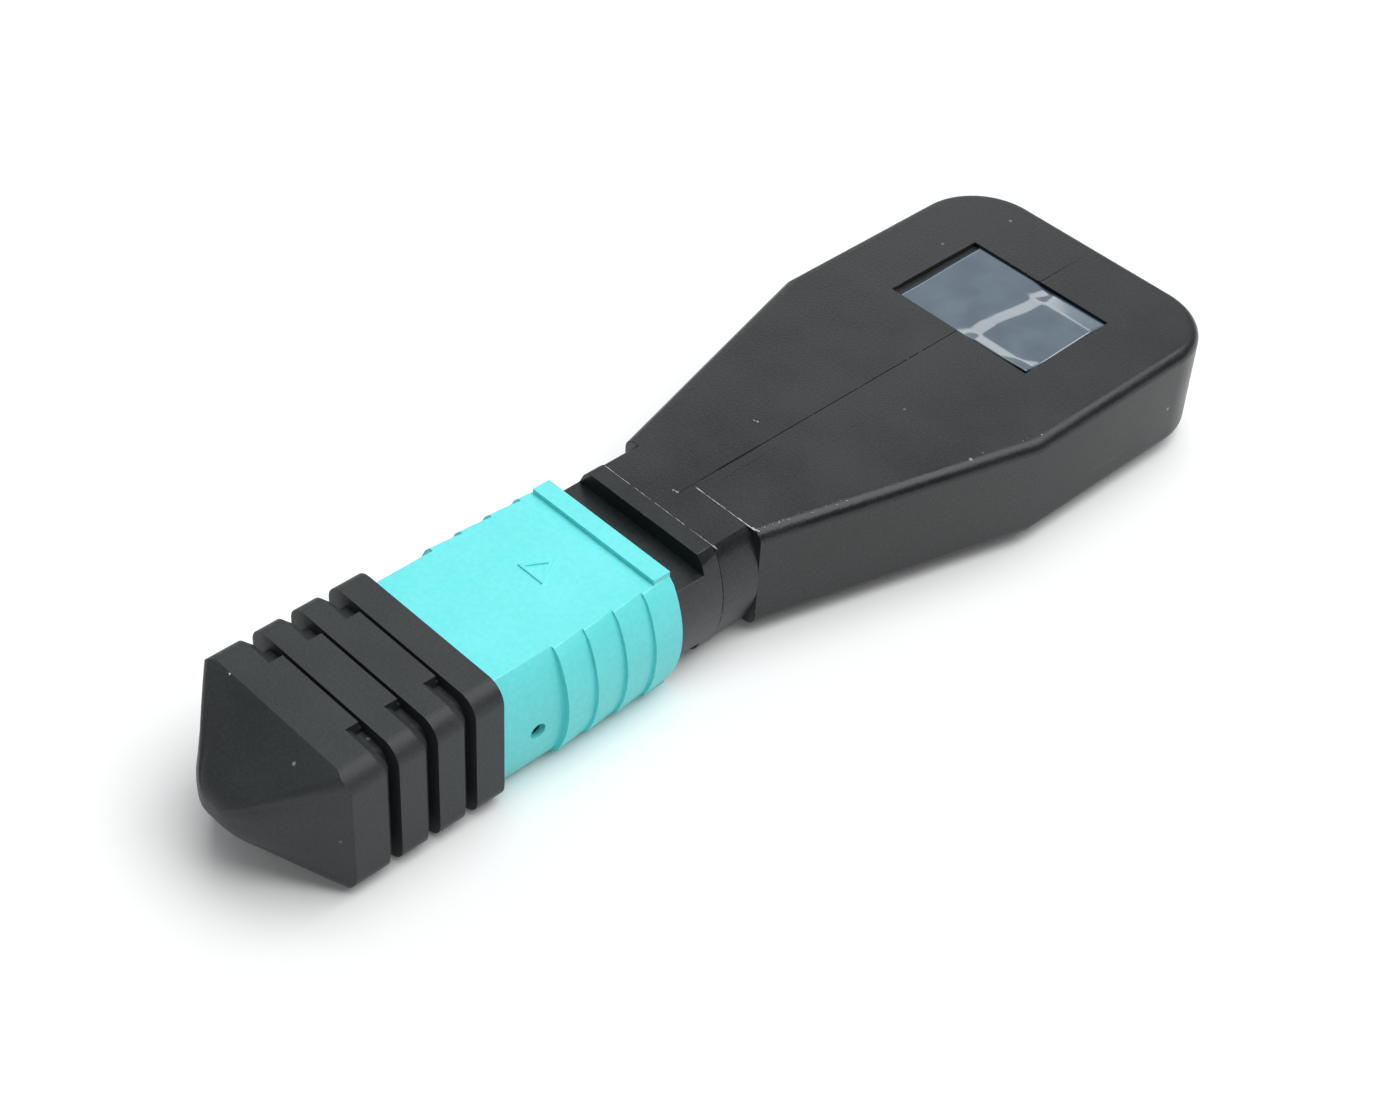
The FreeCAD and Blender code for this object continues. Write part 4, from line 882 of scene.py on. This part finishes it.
@dataclass
class ConnectorBody:
    """The black connector: spring push with its collar, inner housing, ferrule and small parts."""

    edge_radius: float = 0.06
    small_edge: float = 0.5
    # Black polyetherimide, satin from the mould: slightly glossier than the paddle.
    finish: MouldedPlastic = MouldedPlastic(
        "polyetherimide_black_satin", "#1c1f20", "#2a2d2f", 0.32, Grain.SATIN, dust=0.035,
        dust_colour="#6d7070")
    # The same plastic, rubbed at its edges.
    edge_finish: MouldedPlastic = MouldedPlastic(
        "polyetherimide_black_rubbed_edge", "#1a1c1e", "#242628", 0.32, Grain.SATIN,
        rubbed="#62686b", rubbed_share=0.1)
    # Glass-filled ferrule resin, lapped on its face: dark, hard and almost polished.
    ferrule_finish: MouldedPlastic = MouldedPlastic(
        "filled_resin_ferrule_lapped", "#2e2c2a", "#3a3734", 0.26, Grain.POLISHED)
    # Silicone rubber, moulded: soft black without a highlight.
    boot_finish: MouldedPlastic = MouldedPlastic(
        "silicone_rubber_black", "#161617", "#1f1f20", 0.62, Grain.SATIN)
    # Hard-drawn stainless wire, bright between its draw lines.
    wire: DrawnWire = DrawnWire()

    def build(self) -> list[Object]:
        """Build and place the pieces.

        Returns:
            The pieces.
        """
        black, edge = self.finish.build(), self.edge_finish.build()
        resin = self.ferrule_finish.build()
        rubber = self.boot_finish.build()
        pieces = []
        for node, name, body, slot, materials in (
                ("spring_push", "rear_collar", "loopback_housing", "connector_black", (black, edge)),
                ("inner_housing", "inner_plug", "loopback_housing", "connector_black", (black, edge)),
                ("mt_ferrule", "ferrule_lapped", "ferrule_group", "ferrule", (resin, resin)),
                ("ferrule_boot", "ferrule_boot_soft", "ferrule_group", "boot", (rubber, rubber)),
                ("pin_spacer", "spacer_plate", "ferrule_group", "connector_black", (black, edge))):
            piece = softened(node, name, materials, self.radius_at)
            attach(piece, body)
            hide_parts(node)
            pieces.append(piece)
        steel = self.wire.build()
        for node in ("ferrule_spring", "sleeve_spring_right", "sleeve_spring_left"):
            dress(node, steel)
        return pieces

    def radius_at(self, edge: BMEdge) -> float:
        """Return an edge's radius: none round the fine holes, more round the joint with the paddle."""
        radius = self.edge_radius if edge.calc_length() > self.small_edge else 0.0
        return joint_radius(edge, 7.6) or radius


@dataclass
class FibreLoops:
    """The coated fibres that turn back inside the paddle, each from one glass tip to another."""

    pitch: float = 0.25
    per_row: int = 12
    glass_radius: float = 0.0625
    coating_radius: float = 0.12
    sides: int = 8
    strip_length: float = 3.5
    glass_overlap: float = 0.2
    spread_start: float = 3.0
    spread_radius: float = 12.0
    spread_angle: float = 20.0
    loop_radius: float = 8.0
    bend_steps: int = 8
    loop_steps: int = 48
    # Acrylate coating drawn on the glass: smooth and glossy, pale aqua.
    coating: MouldedPlastic = MouldedPlastic(
        "acrylate_coating_aqua", "#7fd6cf", "#93e0da", 0.25, Grain.POLISHED)
    # Bare silica with its coating stripped: thin, clear and bright, so it reads as pale grey.
    glass: MouldedPlastic = MouldedPlastic(
        "silica_glass_stripped", "#c6ced0", "#d6dcdd", 0.08, Grain.POLISHED, roughness_spread=0.03,
        ior=1.46)

    def build(self) -> list[Object]:
        """Sweep the coated runs and the glass ends.

        Returns:
            The two pieces.
        """
        coated, bare = [], []
        for row in ("01", "07"):
            low, high = (Vector(corner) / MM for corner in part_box("fibre_loop_" + row))
            level = (low.z + high.z) / 2
            for column in range(self.per_row // 2):
                path = self.path(column, level)
                strip = low.y + self.strip_length
                ends = [Vector((side * path[0].x, strip, level)) for side in (1, -1)]
                coated.append([ends[0], *path, ends[1]])
                inside = Vector((0.0, self.glass_overlap, 0.0))
                bare += [[Vector((end.x, low.y, level)), end + inside] for end in ends]
        pieces = []
        for name, lines, radius, finish in (
                ("fibre_coating_runs", coated, self.coating_radius, self.coating),
                ("fibre_glass_ends", bare, self.glass_radius, self.glass)):
            carrier = carrier_of(lines, self.tree(name, finish.build()), {"Fibre radius": radius * MM})
            piece = as_mesh_piece(carrier, name)
            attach(piece, "ferrule_group")
            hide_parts(*(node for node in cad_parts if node.startswith("fibre_loop")))
            pieces.append(piece)
        return pieces

    def path(self, column: int, level: float) -> list[Vector]:
        """Return the middle line of one loop behind its straight ends, in millimetres.

        Args:
            column: Which loop of the row, counted from the outermost.
            level: Height of the row.

        Returns:
            The points from the right end to the left one.
        """
        inset = self.pitch * column
        offset = self.pitch * (self.per_row - 1) / 2
        angle = math.radians(self.spread_angle)
        start = self.spread_start + SHOULDER
        run = (self.loop_radius * math.cos(angle) - offset
               - self.spread_radius * (1 - math.cos(angle))) / math.sin(angle)
        centre = start + (self.spread_radius + self.loop_radius) * math.sin(angle) + run * math.cos(angle)
        right = []
        for step in range(self.bend_steps + 1):
            turned = angle * step / self.bend_steps
            right.append(Vector((offset + self.spread_radius
                                 - (self.spread_radius + inset) * math.cos(turned),
                                 start + (self.spread_radius + inset) * math.sin(turned), level)))
        crown = []
        for step in range(self.loop_steps + 1):
            turned = angle - (math.pi + 2 * angle) * step / self.loop_steps
            crown.append(Vector(((self.loop_radius - inset) * math.cos(turned),
                                 centre - (self.loop_radius - inset) * math.sin(turned), level)))
        return right + crown + [Vector((-point.x, point.y, level)) for point in reversed(right)]

    def tree(self, name: str, material: Material) -> NodeTree:
        """Build the tree that sweeps an eight-sided fibre along each line.

        Args:
            name: The tree's name.
            material: The fibre's material.

        Returns:
            The tree.
        """
        tree, sizes, curve = new_geometry_tree(name, {"Fibre radius": ("NodeSocketFloat", 0.0001)})
        fibre = tube_along(tree, curve, self.sides, sizes.outputs["Fibre radius"])
        return end_geometry_tree(tree, fibre, material)


@dataclass
class PullSleeve:
    """The aqua sleeve that the hand pulls."""

    edge_radius: float = 0.045
    top_corner_radius: float = 0.16
    # Aqua polyester resin, satin from the mould: bright, even, with a soft wide highlight.
    finish: MouldedPlastic = MouldedPlastic(
        "polyester_resin_aqua_moulded", "#6ceced", "#78f3f5", 0.44, Grain.SATIN)
    # A black domed disc in each side hole: painted shade for the dark inside of the hole.
    hole_shade_finish: MouldedPlastic = MouldedPlastic(
        "painted_hole_shade_black", "#060707", "#0c0d0e", 0.6, Grain.SATIN)
    hole_shade_radius: float = 0.52
    hole_shade_station: float = -17.55
    hole_shade_height: float = 3.77
    hole_shade_sides: int = 24
    # Distance from the middle plane, and share of the disc's radius, of each ring of the domed disc.
    hole_shade_rings: tuple[tuple[float, float], ...] = ((5.3, 1.0), (5.46, 1.0), (5.52, 0.88), (5.54, 0.5))
    # The same resin at its edges, a touch smoother, and paler: the paler colour is a painted highlight on
    # the rounded edges.
    edge_finish: MouldedPlastic = MouldedPlastic(
        "polyester_resin_aqua_edge_painted_highlight", "#86f4f6", "#92fafb", 0.34, Grain.SATIN)

    def build(self) -> list[Object]:
        """Build and place the sleeve and the dark discs of painted shade in its side holes.

        Returns:
            The pieces.
        """
        piece = softened("pull_sleeve", "pull_sleeve_shell",
                         (self.finish.build(), self.edge_finish.build()), self.radius_at)
        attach(piece, "sleeve")
        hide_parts("pull_sleeve")
        # The dark discs in the side holes are painted shade.
        hole_shades = self.build_hole_shades()
        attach(hole_shades, "sleeve")
        return [piece, hole_shades]

    def build_hole_shades(self) -> Object:
        """Build the two dark domed discs that close the side holes, painted shade for their insides.

        Returns:
            Both discs as one piece.
        """
        mesh = bmesh.new()
        turns = [math.tau * step / self.hole_shade_sides for step in range(self.hole_shade_sides)]
        for side in (1.0, -1.0):
            rings = []
            for out, share in self.hole_shade_rings:
                radius = self.hole_shade_radius * share
                rings.append([mesh.verts.new((side * out, self.hole_shade_station + radius * math.cos(turn),
                                              self.hole_shade_height + radius * math.sin(turn)))
                              for turn in turns])
            for low, high in zip(rings, rings[1:]):
                for here in range(self.hole_shade_sides):
                    after = (here + 1) % self.hole_shade_sides
                    mesh.faces.new((low[here], low[after], high[after], high[here]))
            mesh.faces.new(rings[0])
            mesh.faces.new(rings[-1])
        return finished(mesh, "side_hole_painted_shade", (self.hole_shade_finish.build(),))

    def radius_at(self, edge: BMEdge) -> float:
        """Return an edge's radius: larger where the top meets the sides."""
        corner = abs(run_of(edge).y) > 0.8 and abs(middle(edge).x) > 4.5 and edge.calc_length() > 0.6
        return self.top_corner_radius if corner else self.edge_radius


@dataclass
class DustCap:
    """The black dust cap over the plug's nose."""

    edge_radius: float = 0.08
    rim_radius: float = 0.29
    # Angles between the faces at a finger groove's rim, in degrees.
    rim_angles: tuple[float, float] = (35.0, 56.0)
    crest_radius: float = 0.14
    nose_base: float = -29.7
    # A point this far behind the nose's base, or ahead of it, still belongs to the base.
    behind_base: float = 0.12
    ahead_of_base: float = 0.3
    nose_tip: float = -33.95
    nose_reach: float = 5.68
    tip_blend: float = 1.2
    tip_height: float = 4.69
    rings: int = 26
    pole_share: float = 0.1
    # Edges of the base's rim over the first length are cut into steps of the second.
    long_edge: float = 0.5
    rim_step: float = 0.4
    # The nose softens over this share of its length, and its outline's power falls by this much.
    soft_share: float = 0.55
    base_power: float = 7.0
    power_drop: float = 3.6
    # The finger grooves: their first and last place, the first front rim, the pitch, and how far a
    # rim reaches from its middle to the rear and, counted as a place in the pitch, to the front.
    grooves: tuple[float, float] = (-28.0, -21.9)
    first_rim: float = -27.76
    groove_pitch: float = 2.46
    rim_end: float = 0.6
    rim_start: float = 2.4
    # On the right cheek the front rims are pressed back, by nothing at the top and fully this far down.
    right_cheek: float = 5.0
    right_squeeze: float = 0.24
    squeeze_top: float = 8.5
    squeeze_run: float = 0.9
    # Black elastomer from a spark-eroded mould: matt, grey-black and slightly dusty.
    finish: MouldedPlastic = MouldedPlastic(
        "thermoplastic_elastomer_black", "#2e3133", "#393c3e", 0.5, Grain.SPARK_ERODED, dust=0.03,
        ior=1.42)
    # The same elastomer on the rims that fingers rub.
    edge_finish: MouldedPlastic = MouldedPlastic(
        "thermoplastic_elastomer_black_edge", "#2f3234", "#3b3e40", 0.46, Grain.SATIN,
        rubbed="#5a5f61", rubbed_share=0.06, ior=1.42)

    def build(self) -> list[Object]:
        """Build and place the cap.

        Returns:
            The cap, in a list.
        """
        piece = softened("dust_cap", "dust_cap_shell", (self.finish.build(), self.edge_finish.build()),
                         self.radius_at, self.round_nose)
        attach(piece, "cap")
        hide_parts("dust_cap")
        return [piece]

    def round_nose(self, mesh: BMesh) -> None:
        """Replace the nose's flat facets with rings that run softly into each other and the tip.

        Args:
            mesh: The copy of the cap, in millimetres.
        """
        self.squeeze_grooves(mesh)
        behind, crest = self.nose_base + self.behind_base, self.nose_base - self.ahead_of_base
        ahead = [face for face in mesh.faces if max(vert.co.y for vert in face.verts) < behind
                 and min(vert.co.y for vert in face.verts) < crest]
        bmesh.ops.delete(mesh, geom=ahead, context="FACES")
        rim = [edge for edge in mesh.edges if edge.is_boundary]
        for edge in [edge for edge in rim if edge.calc_length() > self.long_edge]:
            cuts = int(edge.calc_length() / self.rim_step)
            bmesh.ops.subdivide_edges(mesh, edges=[edge], cuts=cuts)
        rim = [edge for edge in mesh.edges if edge.is_boundary]
        place = {vert: vert.co.copy() for edge in rim for vert in edge.verts}
        high = max(point.z for point in place.values())
        low = min(point.z for point in place.values())
        wide = max(abs(point.x) for point in place.values())
        tall, centre = (high - low) / 2, (high + low) / 2
        for ring in range(1, self.rings + 1):
            share = 1 - (1 - self.pole_share) * ring / self.rings
            grown = bmesh.ops.extrude_edge_only(mesh, edges=rim)["geom"]
            fresh = {vert for vert in grown if isinstance(vert, BMVert)}
            origin = {}
            for vert in fresh:
                for edge in vert.link_edges:
                    other = edge.other_vert(vert)
                    if other in place:
                        origin[vert] = place[other]
            for vert, point in origin.items():
                vert.co = self.nose_point(point, share, wide, tall, centre)
            place = origin
            rim = [edge for edge in grown if isinstance(edge, BMEdge)
                   and all(vert in fresh for vert in edge.verts)]
        bmesh.ops.contextual_create(mesh, geom=rim)

    def squeeze_grooves(self, mesh: BMesh) -> None:
        """Move the grooves' front rims back on the right side, where handling has narrowed the grooves.

        Args:
            mesh: The copy of the cap, in millimetres.
        """
        first, last = self.grooves
        for vert in mesh.verts:
            along = (vert.co.y - self.first_rim) % self.groove_pitch
            on_rim = along < self.rim_end or along > self.rim_start
            if on_rim and vert.co.x > self.right_cheek and first < vert.co.y < last:
                depth = (self.squeeze_top - vert.co.z) / self.squeeze_run
                vert.co.y += self.right_squeeze * min(max(depth, 0.0), 1.0)

    def nose_point(self, point: Vector, share: float, wide: float, tall: float, centre: float) -> Vector:
        """Return where a point of the nose's base lands on one of the rings.

        Args:
            point: The point on the base.
            share: The ring's size beside the base's, from 1 down to 0.
            wide: Half the base's width.
            tall: Half the base's height.
            centre: Height of the base's middle.

        Returns:
            The point on the ring.
        """
        across, up = point.x / wide, (point.z - centre) / tall
        softness = min((1 - share) / self.soft_share, 1.0)
        power = self.base_power - self.power_drop * softness
        round_scale = min(1.0, (abs(across) ** power + abs(up) ** power) ** (-1 / power))
        scale = share * (1 - softness * (1 - round_scale))
        flank = self.nose_base + (point.y - self.nose_base) * share - (1 - share) * self.nose_reach
        gap = max(self.tip_blend - abs(flank - self.nose_tip), 0.0) / self.tip_blend
        depth = max(flank, self.nose_tip) + gap * gap * self.tip_blend / 4
        height = centre + (self.tip_height - centre) * (1 - share)
        return Vector((across * wide * scale, depth, height + up * tall * scale))

    def radius_at(self, edge: BMEdge) -> float:
        """Return an edge's radius: larger on the finger grooves' rims and the nose's crest.

        Args:
            edge: The edge, in millimetres.

        Returns:
            The radius.
        """
        places = [vert.co.y for vert in edge.verts]
        if max(places) < self.nose_base + self.behind_base:
            return self.crest_radius if min(places) > self.nose_base - self.ahead_of_base else 0.0
        low, high = self.rim_angles
        rim = low < math.degrees(edge.calc_face_angle(0.0)) < high
        return self.rim_radius if rim else self.edge_radius


# --- studio ---------------------------------------------------------------------------------------

@dataclass
class Studio:
    """The pale floor, the soft lights, the white surround and the camera."""

    target: tuple[float, float, float] = (3.95, -5.19, 7.67)
    azimuth: float = 44.43
    elevation: float = 42.26
    roll: float = 3.43
    distance: float = 141.87
    lens: float = 68.74
    floor_size: float = 4.0
    floor_colour: str = "#e7e7e6"
    floor_seen: str = "#ffffff"
    floor_lift: float = 0.06
    bright_side: tuple[float, float, float] = (-0.42, 0.45, 0.79)
    dim_light: float = 0.14
    bright_light: float = 0.59
    world_tint: tuple[float, float, float, float] = (0.94, 0.985, 1.0, 1.0)
    # Place, width and height of each lamp in metres, and its power in watts.
    lamps: tuple[tuple[tuple[float, float, float], float, float, float], ...] = (
        ((0.16, 0.20, 0.76), 0.85, 0.85, 6.4),
        ((-0.376, 0.382, 0.268), 0.30, 0.11, 0.15))

    def build(self) -> None:
        """Build everything round the object."""
        self.add_camera()
        self.add_floor()
        self.add_world()
        for place, width, height, power in self.lamps:
            self.add_lamp(Vector(place), width, height, power)
        bpy.context.scene.view_settings.view_transform = "Standard"

    def add_camera(self) -> None:
        """Add the camera and make it the scene's."""
        turn, rise, tilt = (math.radians(angle) for angle in (self.azimuth, self.elevation, self.roll))
        back = Vector((math.sin(turn) * math.cos(rise), -math.cos(turn) * math.cos(rise), math.sin(rise)))
        right = Vector((math.cos(turn), math.sin(turn), 0.0))
        up = back.cross(right)
        rolled_right = right * math.cos(tilt) + up * math.sin(tilt)
        rolled_up = up * math.cos(tilt) - right * math.sin(tilt)
        pose = Matrix((rolled_right, rolled_up, back)).transposed().to_4x4()
        pose.translation = (Vector(self.target) + back * self.distance) * MM
        data = bpy.data.cameras.new("camera")
        data.sensor_width = 36.0
        data.lens = self.lens
        data.clip_start = 0.005
        data.clip_end = 20.0
        camera = linked("camera", data)
        camera.matrix_world = pose
        bpy.context.scene.camera = camera

    @staticmethod
    def seen_rays(tree: NodeTree, *kinds: str) -> NodeSocket:
        """Tell camera rays, and the other kinds of rays named, from the rest.

        Args:
            tree: The node tree.
            kinds: Names of the light path's outputs.

        Returns:
            A factor of 1 for these rays.
        """
        rays = add_node(tree, "ShaderNodeLightPath")
        seen = rays.outputs["Is Camera Ray"]
        for kind in kinds:
            seen = combine(tree, "MAXIMUM", seen, rays.outputs[kind])
        return seen

    def add_floor(self) -> None:
        """Add the pale matt floor, which camera and mirror rays see as white."""
        mesh = bmesh.new()
        bmesh.ops.create_grid(mesh, x_segments=1, y_segments=1, size=self.floor_size / 2)
        data = bpy.data.meshes.new("floor")
        mesh.to_mesh(data)
        mesh.free()
        floor = linked("floor", data)
        material = bpy.data.materials.new("paper_white_matt")
        material.use_nodes = True
        tree = material.node_tree
        tree.nodes.clear()
        seen = self.seen_rays(tree, "Is Glossy Ray", "Is Transmission Ray")
        colour = blend(tree, self.floor_colour, self.floor_seen, seen)
        matt = add_node(tree, "ShaderNodeBsdfDiffuse", {}, {"Color": colour})
        strength = ramp(tree, seen, 0.0, 1.0, 0.0, self.floor_lift)
        lift = add_node(tree, "ShaderNodeEmission", {"Color": (1.0, 1.0, 1.0, 1.0)},
                        {"Strength": strength})
        both = add_node(tree, "ShaderNodeAddShader", {}, {0: matt.outputs[0], 1: lift.outputs[0]})
        add_node(tree, "ShaderNodeOutputMaterial", {}, {"Surface": both.outputs[0]})
        data.materials.append(material)

    def add_world(self) -> None:
        """Add the surround: soft light from above and behind, dim walls, and white to the camera."""
        world = bpy.data.worlds.new("studio")
        world.use_nodes = True
        bpy.context.scene.world = world
        tree = world.node_tree
        tree.nodes.clear()
        seen = self.seen_rays(tree, "Is Transmission Ray")
        way = add_node(tree, "ShaderNodeTexCoord").outputs["Generated"]
        facing = add_node(tree, "ShaderNodeVectorMath", {"operation": "DOT_PRODUCT", 1: self.bright_side},
                          {0: way}).outputs["Value"]
        soft = ramp(tree, facing, 0.3, 1.0, self.dim_light, self.bright_light)
        strength = add_node(tree, "ShaderNodeMix", {"data_type": "FLOAT", 3: 1.0}, {0: seen, 2: soft})
        light = add_node(tree, "ShaderNodeBackground", {"Color": self.world_tint},
                         {"Strength": strength.outputs[0]})
        add_node(tree, "ShaderNodeOutputWorld", {}, {"Surface": light.outputs[0]})

    def add_lamp(self, place: Vector, width: float, height: float, power: float) -> None:
        """Add one soft lamp that points at the object.

        Args:
            place: The lamp's place in metres.
            width: Its width in metres, level with the floor.
            height: Its height in metres.
            power: Its power in watts.
        """
        data = bpy.data.lights.new("soft_lamp", "AREA")
        data.shape = "RECTANGLE"
        data.size = width
        data.size_y = height
        data.energy = power
        lamp = linked("soft_lamp", data)
        lamp.location = place
        lamp.rotation_euler = (-place).to_track_quat("-Z", "Y").to_euler()


def main() -> None:
    """Build the studio and the sub-assemblies in order, and report each piece."""
    logging.basicConfig(level=logging.INFO, format="%(name)s: %(message)s")
    Studio().build()
    for assembly in (PaddleHousing(), NeckMarks(), ConnectorBody(), FibreLoops(), PullSleeve(), DustCap()):
        for piece in assembly.build():
            log.info("%s: %d faces", piece.name, len(piece.data.polygons))
    bpy.context.view_layer.update()


if __name__ == "__main__":
    main()
